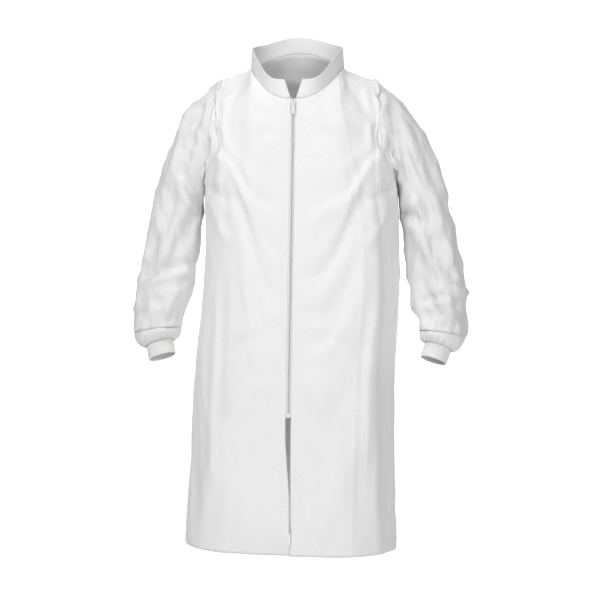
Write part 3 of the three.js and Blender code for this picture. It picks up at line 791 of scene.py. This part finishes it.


def ride(piece, slot, body, *nodes):
    """The piece stands for those nodes of the frame, and moves with that body."""
    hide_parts(*nodes)
    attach(piece, body)


def fold_at_corner(piece, name, side):
    """Bakes the piece's place into its mesh. The reach across the fold line of that front's free corner is
    worked out, and nothing is bent.
    """
    reach = FOLD_ACROSS * [side, 1, 1] * FOLD_REACH
    name + "_corner"
    FOLD_TOP - reach
    FOLD_TOP + reach
    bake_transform(piece)


for name, side in SIDES:
    front = panels[name + "_front"]
    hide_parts(name + "_front_panel", name + "_front_corner")
    fold_at_corner(front, name, side)
    arm = panels[name + "_sleeve"]
    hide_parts(name + "_sleeve")
    underarm = on_armhole(math.pi, True) * [side, 1, 1]
    outwards = unit(point(0.90 * side, 0, -0.44))
    name + "_arm"
    underarm + outwards * SLEEVE_BEND
    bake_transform(arm)
ride(panels["back"], "nonwoven", "coat_body", "back_panel")


# ---- Finishes of the small parts ----
def rib_knit():
    """Knitted cotton: columns of small V stitches down each rib, with painted shade darkening the grooves
    between the ribs.
    """
    f = Finish("rib_knit")
    along, down, flat = f.cut()
    wale, course = along * (2 * math.pi / 0.0030), down * (2 * math.pi / 0.0014)
    legs = (course + wale.sine().size() * 2.2).sine()
    groove = (along * (math.pi / 0.0030)).sine().size()
    fuzz = f.grain(flat, 1800, 3)
    # The colour is darkened along the grooves between the ribs: painted shade.
    colour = f.tint((0.80, 0.80, 0.79), (0.93, 0.93, 0.92), legs * 0.2 + groove * 0.55 + fuzz * 0.3)
    height = legs * 0.00010 + fuzz * 0.00006
    return f.finish(Base_Color=colour, Roughness=0.86 + fuzz * 0.1, Normal=f.relief(height),
                    Sheen_Weight=0.35, Sheen_Roughness=0.4)


def zip_weave():
    """A zip's woven tape: fine herringbone with a raised cord by the coil."""
    f = Finish("zip_tape")
    along, down, flat = f.cut()
    chevron = ((along * (math.pi / 0.0035)).sine().size() * 6 + down * (2 * math.pi / 0.0011)).sine()
    thread = f.grain(scaled(f, flat, 1, 0.3), 2600, 2)
    colour = f.tint((0.85, 0.85, 0.84), (0.93, 0.93, 0.92), chevron * 0.25 + thread * 0.7)
    return f.finish(Base_Color=colour, Roughness=0.7 + thread * 0.2,
                    Normal=f.relief(chevron * 0.00002 + thread * 0.000015), Sheen_Weight=0.15)


def place_on(f):
    """The place on the piece, in metres."""
    return f.node("ShaderNodeTexCoord", None, None, output=3)


def nylon(name, tone, gloss):
    """Moulded or drawn nylon, faintly cloudy, with fine drawing lines."""
    f = Finish(name)
    place = place_on(f)
    cloud, lines = f.grain(place, 220, 3), f.grain(scaled(f, place, 1, 1, 0.1), 5200, 2)
    colour = f.tint((tone - 0.05,) * 3, (tone + 0.02, tone + 0.02, tone + 0.01), cloud)
    return f.finish(Base_Color=colour, Roughness=gloss + lines * 0.16,
                    Normal=f.relief(lines * 0.00001), IOR=1.53)


def lacquer():
    """White baked lacquer on a cast slider: orange peel, and a little wear on the edges."""
    f = Finish("lacquered_metal")
    place = place_on(f)
    peel, rub = f.grain(place, 1400, 2), f.grain(place, 420, 4)
    edge = f.node("ShaderNodeNewGeometry", None, None, output=7)
    wear = edge.above(0.54, 0.64) * rub.above(0.55, 0.68)
    colour = f.tint((0.84, 0.84, 0.83), (0.60, 0.60, 0.60), wear)
    return f.finish(Base_Color=colour, Roughness=0.24 + rub * 0.14, Metallic=wear * 0.8,
                    Normal=f.relief(peel * 0.00002), Coat_Weight=0.3, Coat_Roughness=0.15)


def thread():
    f = Finish("sewing_thread")
    twist = f.grain(place_on(f), 3800, 2).above(0.3, 0.7)
    return f.finish(Base_Color=f.tint((0.72, 0.72, 0.71), (0.90, 0.90, 0.89), twist),
                    Roughness=0.55, Normal=f.relief(twist * 0.00003), Sheen_Weight=0.2)


# ---- Repeats, by Geometry Nodes ----
class Repeat(Tree):
    """A Geometry Nodes tree with named sizes, run once on an object."""

    def __init__(self, name, **sizes):
        self.tree = bpy.data.node_groups.new(name, "GeometryNodeTree")
        face = self.tree.interface
        face.new_socket("Geometry", in_out="INPUT", socket_type="NodeSocketGeometry")
        face.new_socket("Geometry", in_out="OUTPUT", socket_type="NodeSocketGeometry")
        self.sizes = sizes
        for size in sizes:
            face.new_socket(size, in_out="INPUT", socket_type="NodeSocketFloat")
        start = self.tree.nodes.new("NodeGroupInput")
        self.shape, *self.given = [Value(self.tree, socket) for socket in start.outputs[:len(sizes) + 1]]

    def spaced_along(self, pitch):
        """Points along the object's own lines."""
        line = self.node("GeometryNodeMeshToCurve", None, {0: self.shape})
        return self.node("GeometryNodeResampleCurve", {"mode": "LENGTH"}, {"Curve": line, "Length": pitch})

    def read(self, name, kind="FLOAT"):
        """What the object's mesh carries under that name."""
        return self.node("GeometryNodeInputNamedAttribute", {"data_type": kind}, {"Name": name})

    def run(self, obj, geometry, material):
        """Ends the tree, runs it on obj and leaves obj as the plain mesh that came out."""
        real = self.node("GeometryNodeRealizeInstances", None, {0: geometry})
        dressed = self.node("GeometryNodeSetMaterial", None, {"Geometry": real, "Material": material})
        smooth_faces = self.node("GeometryNodeSetShadeSmooth", None, {0: dressed})
        self.node("NodeGroupOutput", None, {0: smooth_faces})
        run = obj.modifiers.new("repeat", "NODES")
        run.node_group = self.tree
        for item in self.tree.interface.items_tree:
            if item.in_out == "INPUT" and item.name in self.sizes:
                run[item.identifier] = float(self.sizes[item.name])
        return apply_modifiers(obj)


def line_object(name, runs):
    """A mesh of open lines, each vertex with the direction that its stitch faces."""
    points, facings, edges = [], [], []
    for run in runs:
        start = len(points)
        points += [p for p, _ in run]
        facings += [n for _, n in run]
        edges += [(start + i, start + i + 1) for i in range(len(run) - 1)]
    mesh = bpy.data.meshes.new(name)
    mesh.from_pydata([tuple(p) for p in points], edges, [])
    facing = mesh.attributes.new("facing", "FLOAT_VECTOR", "POINT")
    facing.data.foreach_set("vector", np.array(facings, float).ravel())
    return linked(name, mesh)


def stitches(name, runs, pitch=0.0032):
    """Lockstitches along lines that lie on the cloth."""
    made = line_object(name, runs)
    t = Repeat(name + "_rule", Pitch=pitch, Length=pitch * 0.72, Thread=0.00055)
    pitch, length, thick = t.given
    spaced = t.spaced_along(pitch)
    stitch = t.node("GeometryNodeMeshUVSphere", None, {"Segments": 6, "Rings": 4, "Radius": 0.5})
    tangent = t.node("GeometryNodeInputTangent")
    turned = t.node("FunctionNodeAlignRotationToVector", {"axis": "X"}, {"Vector": tangent})
    rolled = {"Rotation": turned, "Vector": t.read("facing", "FLOAT_VECTOR")}
    turned = t.node("FunctionNodeAlignRotationToVector", {"axis": "Z", "pivot_axis": "X"}, rolled)
    size = t.node("ShaderNodeCombineXYZ", None, {0: length, 1: thick, 2: thick})
    each = {"Points": spaced, "Instance": stitch, "Rotation": turned, "Scale": size}
    t.run(made, t.node("GeometryNodeInstanceOnPoints", None, each), white_thread)
    return made


def surface_tree(obj):
    return BVHTree.FromPolygons([v.co for v in obj.data.vertices], [p.vertices for p in obj.data.polygons])


def laid_on(tree, points, outwards, lift=0.0001):
    """The points moved onto the cloth, on the side they look from, each with its normal."""
    run = []
    for p, out in zip(points, outwards):
        out = Vector(out).normalized()
        hit, normal, _, _ = tree.ray_cast(Vector(p) + out * 0.045, -out, 0.12)
        if hit is None:
            hit, normal, _, _ = tree.find_nearest(Vector(p))
        if normal.dot(out) < 0:
            normal = -normal
        run.append((hit + normal * lift, normal))
    return run


# ---- Surfaces made from grids ----
def skin(name, grid, material, wraps=False, wall=0.0, offset=-1.0):
    """A piece from a grid of points, with its flat cut in metres, given a wall if it is a sheet."""
    if wraps:
        grid = np.concatenate([grid, grid[:, :1]], axis=1)
    patches = Patchwork()
    patches.add(np.asarray(grid))
    made = patches.object(name)
    made.data.materials.append(material)
    for face in made.data.polygons:
        face.material_index = 0
        face.use_smooth = True
    return give_wall(made, wall, offset) if wall else made


def wavy(p, scale, seed=0.0):
    """A soft random swell, from -1 to 1, with about that many waves to the metre."""
    return noise.noise(Vector((p[0] * scale + seed, p[1] * scale, p[2] * scale)))


# ---- Collar: one stand, folded over at its top, in two layers ----
COLLAR_WALL, COLLAR_FOLD = 0.0026, 0.965  # both layers together, and the height at which they turn over
SIDE_RISE, SIDE_TURN, SIDE_SPAN = 0.007, 1.25, 0.45  # the collar stands higher at the neck's sides
NAPE_DROP, DRAWN_IN = 0.0015, 0.003  # and lower and closer behind


def on_collar(around, up):
    """A point on the collar: around from -1 to 1, with 0 at the nape, and up from its seam to its top."""
    turn = abs(around) * math.pi
    front = turn > math.pi / 2
    foot = on_neck(math.pi - turn if front else turn, front)
    to_front = max(0, -math.cos(turn))
    drawn_in = DRAWN_IN * (1 - to_front) * smooth(abs(foot[0]) / 0.05)
    at_side = math.exp(-(((turn - SIDE_TURN) / SIDE_SPAN) ** 2))
    height = COLLAR_HEIGHT + 0.003 * math.sin(turn) ** 2 + SIDE_RISE * at_side
    height -= NAPE_DROP * (1 - to_front)
    rise = point(COLLAR_SPREAD * to_front ** 6 - drawn_in, -0.002 * to_front, height)
    p = foot + rise * up + point(0, 0, 0.0004)
    return point(p[0] * (1 if around >= 0 else -1), p[1], p[2])


def into_neck(p):
    """The direction from the collar towards the middle of the neck."""
    return unit(point(-p[0] / NECK_HALF_WIDTH, -(p[1] + 0.015) / NECK_HALF_WIDTH, 0))


def collar_columns():
    """Each column's place round the neck and how far its end is drawn towards the zip."""
    shares = (1.0, 0.66, 0.33)
    curved = [(a, 0.0) for a in np.linspace(-1, 1, 121)]
    return [(-1, share) for share in shares] + curved + [(1, share) for share in shares[::-1]]


def collar_point(around, drawn, up, deep):
    p = on_collar(around, up)
    p[0] -= np.sign(p[0]) * drawn * (BAND_EDGE - FRONT_EDGE)
    p = p + into_neck(p) * deep
    ease = math.sin(math.pi * min(1, up)) * 0.6 + up * 0.4
    p = p + into_neck(p) * wavy(p, 26, 4.0) * 0.0022 * ease
    p[2] += wavy(p * [1, 1, 0], 19, 9.0) * 0.0018 * up
    return p


def collar():
    """The outer layer, the fold at the top and the inner layer, thinner where they are stitched."""
    wall, top = COLLAR_WALL, COLLAR_FOLD
    section = [(up, 0.0) for up in np.linspace(0, top, 11)]
    for a in np.linspace(0, math.pi, 7)[1:-1]:
        section.append((top + (1 - top) * math.sin(a), wall * (1 - math.cos(a)) / 2))
    section += [(up, wall) for up in np.linspace(top, 0.0, 11)]
    rows = []
    for up, deep in section:
        at_foot, at_top = math.exp(-((up / 0.10) ** 2)), math.exp(-(((up - 0.93) / 0.05) ** 2))
        deep = wall / 2 + (deep - wall / 2) * (1 - 0.35 * at_foot - 0.25 * at_top)
        rows.append([collar_point(a, drawn, up, deep) for a, drawn in collar_columns()])
    rows.append(rows[0])
    made = skin("collar", np.array(rows), body_cloth)
    bm = bmesh.new()
    bm.from_mesh(made.data)
    bmesh.ops.holes_fill(bm, edges=[e for e in bm.edges if e.is_boundary], sides=0)
    bmesh.ops.recalc_face_normals(bm, faces=bm.faces)
    bm.to_mesh(made.data)
    bm.free()
    return made


# ---- Cuff bands and knit cuffs ----
BAND_START = SLEEVE_END + ARM_AXIS * 0.0008
KNIT_START = BAND_START + CUFF_AXIS * (BAND_HEIGHT + 0.0004)
KNIT_OUTER = KNIT_RADIUS + KNIT_THICKNESS
RIBS = 59


def cuff_rings(start, top_axis, length, radius_top, radius_end, shares, columns):
    """Rings down a cuff, at these shares of its length, that turn from the sleeve's line to its own."""
    turns = np.linspace(0, 2 * math.pi, columns, endpoint=False)
    rows = []
    for share in shares:
        centre = start + CUFF_AXIS * share * length
        axis = unit(lerp(top_axis, CUFF_AXIS, max(0, share)))
        radius = lerp(radius_end, radius_top, math.sqrt(1 - max(0, share) ** 2))
        rows.append([on_ring(centre, axis, radius, radius, turn) for turn in turns])
    return np.array(rows)


def cuff_band(name, side):
    """The plain band, eased onto the knit: folded where it turns in, with pleats at its lower seam."""
    shares = np.concatenate([[-0.10], np.sin(np.linspace(0, math.pi / 2, 17))])
    end_radius = KNIT_RADIUS + KNIT_THICKNESS / 2 + 0.0015
    start_radius = GATHER_RADIUS - 0.0006
    rings = cuff_rings(BAND_START, ARM_AXIS, BAND_HEIGHT, start_radius, end_radius, shares, 144)
    middle = BAND_START + CUFF_AXIS * BAND_HEIGHT / 2
    phase = 0.9 if side < 0 else 0
    for i, share in enumerate(np.maximum(0, shares)):
        full = math.sin(math.pi * min(1, share + 0.12)) ** 0.7
        pleated = smooth((share - 0.35) / 0.5)
        seam = -0.0012 * math.exp(-((share / 0.06) ** 2))
        for j in range(rings.shape[1]):
            turn = 2 * math.pi * j / rings.shape[1]
            out = rings[i, j] - middle
            out = unit(out - CUFF_AXIS * (out @ CUFF_AXIS))
            soft = wavy(rings[i, j], 34, 3.0 + side) * 0.0042 * full
            pleat = math.sin(19 * turn + 2 * math.sin(3 * turn + phase)) * 0.0013 * pleated
            rings[i, j] = rings[i, j] + out * (soft + pleat + seam)
    return skin(name, swayed(rings * [side, 1, 1]), shaded_sleeve_cloth, wraps=True, wall=0.0008)


def knit_cuff(name, side, material):
    """A rib-knit tube. Each rib is raised by the same rule, and both ends roll a little."""
    shares = np.linspace(-0.10, 1, 26)
    rings = cuff_rings(KNIT_START, CUFF_AXIS, KNIT_HEIGHT, KNIT_OUTER, KNIT_OUTER, shares, 6 * RIBS)
    made = skin(name, rings * [side, 1, 1], material, wraps=True)
    offset = positions(made) * [side, 1, 1] - KNIT_START
    outward = -unit(np.cross(point(0, 1, 0), CUFF_AXIS))
    backward = -unit(np.cross(CUFF_AXIS, outward))
    turns = np.arctan2(offset @ backward, offset @ outward)
    for label, numbers in (("round", turns), ("down", (offset @ CUFF_AXIS) / KNIT_HEIGHT)):
        attribute = made.data.attributes.new(label, "FLOAT", "POINT")
        attribute.data.foreach_set("value", numbers.astype(np.float32))
    t = Repeat(name + "_ribs", Ribs=RIBS, Depth=0.0007, Roll=0.0009)
    ribs, depth, roll = t.given
    turn, down = t.read("round"), t.read("down")
    rib = (turn * ribs * 0.5).sine().size() * depth
    course = (down * 19.0).sine() * 0.00022
    rolled = (down - 0.46).size() ** 6.0 * (roll * -40.0)
    height = rib + course + rolled - depth
    normal = t.node("GeometryNodeInputNormal")
    shift = t.node("ShaderNodeVectorMath", {"operation": "SCALE"}, {0: normal, "Scale": height})
    ribbed = t.node("GeometryNodeSetPosition", None, {"Geometry": t.shape, "Offset": shift})
    t.run(made, ribbed, material)
    move_to(made, swayed(positions(made)))
    return give_wall(made, 0.0014)


# ---- Zip ----
# Drawn upright, with x across, y back into the coat and z up from the zip's top, then leaned.
ZIP_TOP = (0, -FRONT_AT_NECK, -NECK_FRONT_DROP)
ZIP_FRAME = Matrix.Translation(ZIP_TOP) @ Matrix.Rotation(-ZIP_TILT, 4, "X")
TAPE_FRONT = FRAME_CLOTH + CLEARANCE
COIL_BACK = TAPE_FRONT - CLEARANCE
COIL_FRONT = COIL_BACK - COIL_HEIGHT
COIL_INNER, COIL_OUTER = COIL_SPLIT / 2, COIL_SPLIT / 2 + COIL_WIDTH
COIL_MEETS = 0.00048  # how near the middle each row comes
STOP_TOP, STOP_BOTTOM = -0.002, -0.005
COIL_TOP = STOP_BOTTOM - CLEARANCE
BOX_BOTTOM, BOX_TOP = -ZIP_LENGTH, -ZIP_LENGTH + 0.009
SLIDER_Z = COIL_TOP + CLEARANCE - 0.0006 - SLIDER_LENGTH / 2
SLIDER_PLATE, TAB_HALF, TAB_LENGTH = 0.0012, 0.0035, 0.024
PLATE_BACK = COIL_FRONT - CLEARANCE
PLATE_FRONT = PLATE_BACK - SLIDER_PLATE


def place_in_zip(obj, up=0.0):
    """The piece moved from where it was drawn to its place on the coat."""
    obj.data.transform(ZIP_FRAME @ Matrix.Translation((0, 0, up)))
    return obj


def tape(name, side, material):
    """A zip's tape: thin, with a cord woven in by the coil and a raised edge on the far side."""
    across = np.linspace(COIL_MEETS, COIL_INNER + TAPE_WIDTH, 23)
    down = np.linspace(-CLEARANCE, -ZIP_LENGTH, 129)
    cord = 0.00022 * np.exp(-(((across - COIL_OUTER - 0.0014) / 0.0007) ** 2))
    edge = 0.00018 * np.exp(-(((across - across[-1] + 0.0008) / 0.0006) ** 2))
    lifts = list(zip(across, cord + edge))
    grid = np.array([[(side * x, TAPE_FRONT + 0.0003 - lift, z) for x, lift in lifts] for z in down])
    return place_in_zip(skin(name, grid, material, wall=0.0005, offset=0.0))


def coil(name, side, material):
    """One row of the coil: the same bent wire, over and over, down a line."""
    pitch = 0.0014
    start = COIL_TOP - (pitch / 2 if side > 0 else 0)
    heights = np.linspace(start, BOX_TOP + CLEARANCE, 3)
    made = line_object(name, [[((0, 0, z), (0, -1, 0)) for z in heights]])
    t = Repeat(name + "_rule", Pitch=pitch, Wire=0.00044, Reach=COIL_OUTER - COIL_MEETS - 0.00068)
    pitch, thick, reach = t.given
    spaced = t.spaced_along(pitch)
    loop = t.node("GeometryNodeCurvePrimitiveCircle", None, {"Resolution": 12, "Radius": 0.5})
    size = t.node("ShaderNodeCombineXYZ", None, {0: reach, 1: COIL_HEIGHT - 0.0008, 2: 1.0})
    middle = (side * (COIL_OUTER + COIL_MEETS) / 2, (COIL_FRONT + COIL_BACK) / 2, 0)
    bent = {"Geometry": loop, "Translation": middle, "Rotation": (0.0, side * 0.22, 0.0), "Scale": size}
    shaped = t.node("GeometryNodeTransform", None, bent)
    section = t.node("GeometryNodeCurvePrimitiveCircle", None, {"Resolution": 6, "Radius": thick})
    wire = t.node("GeometryNodeCurveToMesh", None, {"Curve": shaped, "Profile Curve": section})
    placed = t.node("GeometryNodeInstanceOnPoints", None, {"Points": spaced, "Instance": wire})
    t.run(made, placed, material)
    return place_in_zip(made)


def ring_on(bm, points):
    return [bm.verts.new(p) for p in points]


def bridge(bm, low, high):
    """A band of faces from one ring of corners to the next."""
    for i in range(len(low)):
        j = (i + 1) % len(low)
        bm.faces.new((low[i], low[j], high[j], high[i]))


def closed_tube(bm, rings):
    """A shape that runs through rings of points, closed at both ends."""
    rings = [ring_on(bm, points) for points in rings]
    for low, high in zip(rings, rings[1:]):
        bridge(bm, low, high)
    bm.faces.new(rings[0][::-1])
    bm.faces.new(rings[-1])


def at_depth(outline, depth):
    return [(x, depth, z) for x, z in outline]


def cast(bm, name, material, bevel, up=0.0):
    """What has been drawn in bm as a small casting, its edges rounded, in its place in the zip."""
    bmesh.ops.recalc_face_normals(bm, faces=bm.faces)
    mesh = mesh_of(bm, name)
    mesh.materials.append(material)
    made = linked(name, mesh)
    soft = made.modifiers.new("edges", "BEVEL")
    soft.width, soft.segments, soft.limit_method, soft.angle_limit = bevel, 3, "ANGLE", 0.6
    apply_modifiers(made)
    for face in made.data.polygons:
        face.use_smooth = True
    made.data.set_sharp_from_angle(angle=0.9)
    return place_in_zip(made, up)


def cast_plates(name, plates, material, bevel, up=0.0, tubes=()):
    """A casting of flat plates, each an outline with its front and back depths, and of tubes."""
    bm = bmesh.new()
    for outline, front, back in plates:
        closed_tube(bm, [at_depth(outline, front), at_depth(outline, back)])
    for rings in tubes:
        closed_tube(bm, rings)
    return cast(bm, name, material, bevel, up)


def rounded(x0, x1, z0, z1, radius, steps=4):
    """The outline of a rectangle with rounded corners."""
    points = []
    for cx, cz, start in ((x1 - radius, z1 - radius, 0), (x0 + radius, z1 - radius, 1),
                          (x0 + radius, z0 + radius, 2), (x1 - radius, z0 + radius, 3)):
        for k in range(steps + 1):
            a = (start + k / steps) * math.pi / 2
            points.append((cx + radius * math.cos(a), cz + radius * math.sin(a)))
    return points


def slider_outline(half, end, waist):
    """A shield: wide where the open rows enter, drawn in below."""
    right = [(half * 0.55, end), (half * 0.88, end * 0.86), (half, end * 0.55), (half, end * 0.1),
             (waist, -end * 0.55), (waist, -end * 0.86), (waist * 0.8, -end)]
    return right + [(-x, z) for x, z in right[::-1]]


def zip_slider(material):
    """Two shields joined by the wedge, with rims at their sides and an arch for the tab."""
    half, end = SLIDER_WIDTH / 2, SLIDER_LENGTH / 2
    rear = TAPE_FRONT + TAPE_THICKNESS + CLEARANCE
    rim = 0.0008
    shield = slider_outline(half, end, half * 0.90)
    sides = []
    for s in (1, -1):
        outer, inner = s * half, s * (half - rim)
        wall = [(outer, -end * 0.80), (outer, end * 0.62), (inner, end * 0.62), (inner, -end * 0.80)]
        sides.append((wall if s < 0 else wall[::-1], PLATE_BACK - 0.0002, COIL_BACK))
    wedge = rounded(-0.0004, 0.0004, end - 0.004, end - 0.0006, 0.0003, 2)
    plates = [(shield, PLATE_FRONT, PLATE_BACK), (shield, rear, rear + SLIDER_PLATE),
              (wedge, PLATE_BACK - 0.0001, rear + 0.0001)] + sides
    wide, thick = 0.0008, 0.00055
    arch = []
    for a in (math.pi * k / 14 for k in range(15)):
        z = -0.0030 * math.cos(a)
        y = PLATE_FRONT + 0.0004 - (0.0016 + thick + 0.0004) * math.sin(a) ** 0.45
        out_z, out_y = -math.cos(a), -math.sin(a) ** 0.6
        length = math.hypot(out_z, out_y)
        out_z, out_y = out_z / length, out_y / length
        low, high = (y - out_y * thick, z - out_z * thick), (y + out_y * thick, z + out_z * thick)
        arch.append([(-wide, *low), (wide, *low), (wide, *high), (-wide, *high)])
    return cast_plates("zip_slider_body", plates, material, 0.0003, SLIDER_Z, tubes=[arch])


def zip_tab(material):
    """The pull: a flat plate with a waist, a rounded foot and a hole for the slider's arch."""
    middle = PLATE_FRONT - 0.0008
    head, foot = 0.0025, 0.0025 - TAB_LENGTH
    half, hole_half, hole_low = TAB_HALF, 0.0011, -0.0048
    right = [(half - 0.0008, head), (half * 0.93, head - 0.0012), (half * 0.86, head - 0.004),
             (half * 0.80, hole_low - 0.002), (half * 0.86, hole_low - 0.006), (half, hole_low - 0.011)]
    turns = np.linspace(0.15, math.pi - 0.15, 13)
    round_foot = [(half * math.cos(a), foot + half - half * math.sin(a)) for a in turns]
    outer = right + round_foot + [(-x, z) for x, z in right[::-1]]
    hole = rounded(-hole_half, hole_half, hole_low, head - 0.001, 0.0005, 3)
    bm = bmesh.new()
    sheets = [[ring_on(bm, at_depth(loop, near)) for loop in (outer, hole)]
              for near in (middle - 0.0005, middle + 0.0005)]
    for loops in sheets:
        edges = [bm.edges.new((a, b)) for loop in loops for a, b in zip(loop, loop[1:] + loop[:1])]
        bmesh.ops.triangle_fill(bm, edges=edges, use_beauty=True)
    for near, far in zip(*sheets):
        bridge(bm, near, far)
    bmesh.ops.dissolve_limit(bm, angle_limit=0.01, verts=bm.verts, edges=bm.edges)
    return cast(bm, "pull_tab_plate", material, 0.00028, SLIDER_Z)


def top_stop(name, side, material):
    """A moulded crimp on the tape's bead, with a raised middle."""
    near, far = sorted((side * COIL_INNER, side * COIL_OUTER))
    crimp = rounded(near, far, STOP_BOTTOM, STOP_TOP, 0.0007)
    raised = rounded(near + 0.0003, far - 0.0003, -0.0040, -0.0030, 0.0003)
    plates = [(crimp, COIL_FRONT - 0.0004, COIL_BACK), (raised, COIL_FRONT - 0.0006, COIL_FRONT - 0.0003)]
    return cast_plates(name, plates, material, 0.00025)


def zip_box(material):
    """The box at the zip's foot, with a raised face and three grips."""
    half = FRONT_EDGE - CLEARANCE
    body = rounded(-half, half, BOX_BOTTOM, BOX_TOP - 0.0005, 0.0011)
    face = rounded(-half + 0.0012, half - 0.0012, BOX_BOTTOM + 0.0012, BOX_TOP - 0.0026, 0.0006)
    plates = [(body, COIL_FRONT - 0.0008, COIL_BACK), (face, COIL_FRONT - 0.0011, COIL_FRONT - 0.0006)]
    for k in range(3):
        low = BOX_BOTTOM + 0.0020 + k * 0.0015
        grip = rounded(-0.0022, 0.0022, low, low + 0.0006, 0.0002, 2)
        plates.append((grip, COIL_FRONT - 0.0013, COIL_FRONT - 0.0009))
    return cast_plates("zip_box", plates, material, 0.0003)


def zip_pin(material):
    shaft = rounded(-COIL_INNER - 0.0016, -COIL_INNER, BOX_BOTTOM + 0.002, BOX_TOP + 0.0022, 0.0004)
    return cast_plates("zip_pin", [(shaft, COIL_FRONT + 0.0005, COIL_BACK)], material, 0.0002)


knit = rib_knit()
tape_weave = zip_weave()
# The coil's nylon is given a lighter tone than the moulded nylon (0.95 against 0.84) as painted light,
# lifting the shade of the zip's recess.
coil_nylon_painted_light = nylon("coil_nylon_painted_light", 0.95, 0.36)
moulded_nylon = nylon("moulded_nylon", 0.84, 0.38)
white_lacquer = lacquer()
white_thread = thread()

neck_band = collar()
ride(neck_band, "nonwoven", "coat_body", "collar_outer", "collar_inner")

for name, side in SIDES:
    band = cuff_band(name + "_band", side)
    ride(band, "nonwoven", name + "_arm", name + "_cuff_band")
    cuff = knit_cuff(name + "_knit", side, knit)
    ride(cuff, "rib_knit", name + "_arm", name + "_knit_cuff")
    strip = tape(name + "_tape", side, tape_weave)
    ride(strip, "zip_tape", "coat_body", name + "_zip_tape")
    ride(coil(name + "_coil", side, coil_nylon_painted_light), "nylon", "coat_body", name + "_zip_coil")
    ride(top_stop(name + "_stop", side, moulded_nylon), "nylon", "coat_body", name + "_top_stop")

ride(zip_slider(white_lacquer), "lacquered_metal", "slider", "zip_slider")
ride(zip_tab(white_lacquer), "lacquered_metal", "tab", "pull_tab")
ride(zip_box(moulded_nylon), "nylon", "coat_body", "retainer_box")
ride(zip_pin(moulded_nylon), "nylon", "coat_body", "insertion_pin")


# ---- Stitching ----
def hem_points(front):
    """A line round one panel's hem, in from its edge by the width of the turned hem."""
    z = HEM_Z + HEM_TURNING
    columns = np.linspace(0.0, 0.992, 70)
    line = [on_section(s, z, front) for s in columns]
    if front:
        line = [point(front_edge(z) + 0.002, line[0][1], z), point(0.010, line[0][1], z)] + line
    return line


def away(points):
    """The way the cloth faces at each point: straight ahead near the middle, outwards at the sides."""
    return [unit(point(p[0] if abs(p[0]) > 0.1 else p[0] * 0.3, p[1], 0)) for p in points]


# Beside the zip: distance from the middle, where the row ends, and how many points it is laid on.
ZIP_ROWS = ((0.0118, HEM_Z + 0.02, 130), (0.0182, SLIT_TOP_Z - 0.01, 100))
for name, side in SIDES:
    cloth = surface_tree(panels[name + "_front"])
    runs = []
    for out, end, count in ZIP_ROWS:
        heights = np.linspace(-NECK_FRONT_DROP - 0.004, end, count)
        row = [point(side * out, centre_front(z), z) for z in heights]
        runs.append(laid_on(cloth, row, [point(0, -1, 0)] * count))
    hem = [p * [side, 1, 1] for p in hem_points(True)]
    runs.append(laid_on(cloth, hem, away(hem)))
    fold_at_corner(stitches(name + "_front_stitching", runs), name, side)

hem = hem_points(False)
hem = [p * MIRROR for p in hem[:0:-1]] + hem
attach(stitches("back_stitching", [laid_on(surface_tree(panels["back"]), hem, away(hem))]), "coat_body")

collar_tree = surface_tree(neck_band)
for label, height in (("top", 0.90), ("foot", 0.10)):
    line = [on_collar(a, height) for a in np.linspace(-0.985, 0.985, 220)]
    run = laid_on(collar_tree, line, [-into_neck(p) for p in line])
    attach(stitches("collar_" + label + "_stitching", [run], 0.0028), "coat_body")


# ---- Light and stage ----
def lamp(name, place, look, size, power):
    light = linked(name, bpy.data.lights.new(name, "AREA"))
    light.data.shape, light.data.size, light.data.energy = "SQUARE", size, power
    light.location = place
    light.rotation_euler = (Vector(look) - Vector(place)).to_track_quat("-Z", "Y").to_euler()


def studio():
    """Four lamps, a pale sweep of paper that glows only behind the coat, and a dim sky."""
    lamp("key", (-1.9, -2.7, 1.1), (0, 0, -0.55), 1.3, 43)
    lamp("fill", (1.5, -3.1, 0.1), (0, 0, -0.55), 1.6, 37)
    lamp("overhead", (-0.2, -0.9, 1.9), (0, 0, -0.1), 1.4, 19)
    lamp("backlight", (0, 2.2, 1.6), (0, 0.2, -0.5), 2.0, 6)

    bm = bmesh.new()
    profile = [(-6, -1.5), (0, -1.5), (2.0, -1.5), (2.8, -1.40),
               (3.4, -1.1), (3.7, -0.6), (3.8, 0), (3.8, 5)]
    rows = [[bm.verts.new((x, y, z)) for x in (-9, 9)] for y, z in profile]
    for low, high in zip(rows, rows[1:]):
        bm.faces.new((low[0], low[1], high[1], high[0])).smooth = True
    sweep = linked("sweep", mesh_of(bm, "sweep"))
    paper = Finish("sweep_paper")
    place = place_on(paper)
    tone = paper.grain(place, 0.6)
    across = paper.node("ShaderNodeSeparateXYZ", None, {0: place})
    back = across.beside(1)
    lit = back.above(0.2, 1.3) * (1 - across.size().above(2.2, 3.4))
    sweep.data.materials.append(paper.finish(
        Base_Color=paper.tint((0.93, 0.93, 0.93), (0.95, 0.95, 0.95), tone), Roughness=0.9,
        Emission_Color=paper.tint((0, 0, 0), (1, 1, 1), lit), Emission_Strength=0.66,
    ))

    world = bpy.data.worlds.new("studio")
    bpy.context.scene.world = world
    world.use_nodes = True
    sky = world.node_tree.nodes["Background"].inputs
    sky["Color"].default_value, sky["Strength"].default_value = (0.985, 0.99, 1.0, 1), 0.2
    bpy.context.scene.view_settings.view_transform = "Standard"


studio()
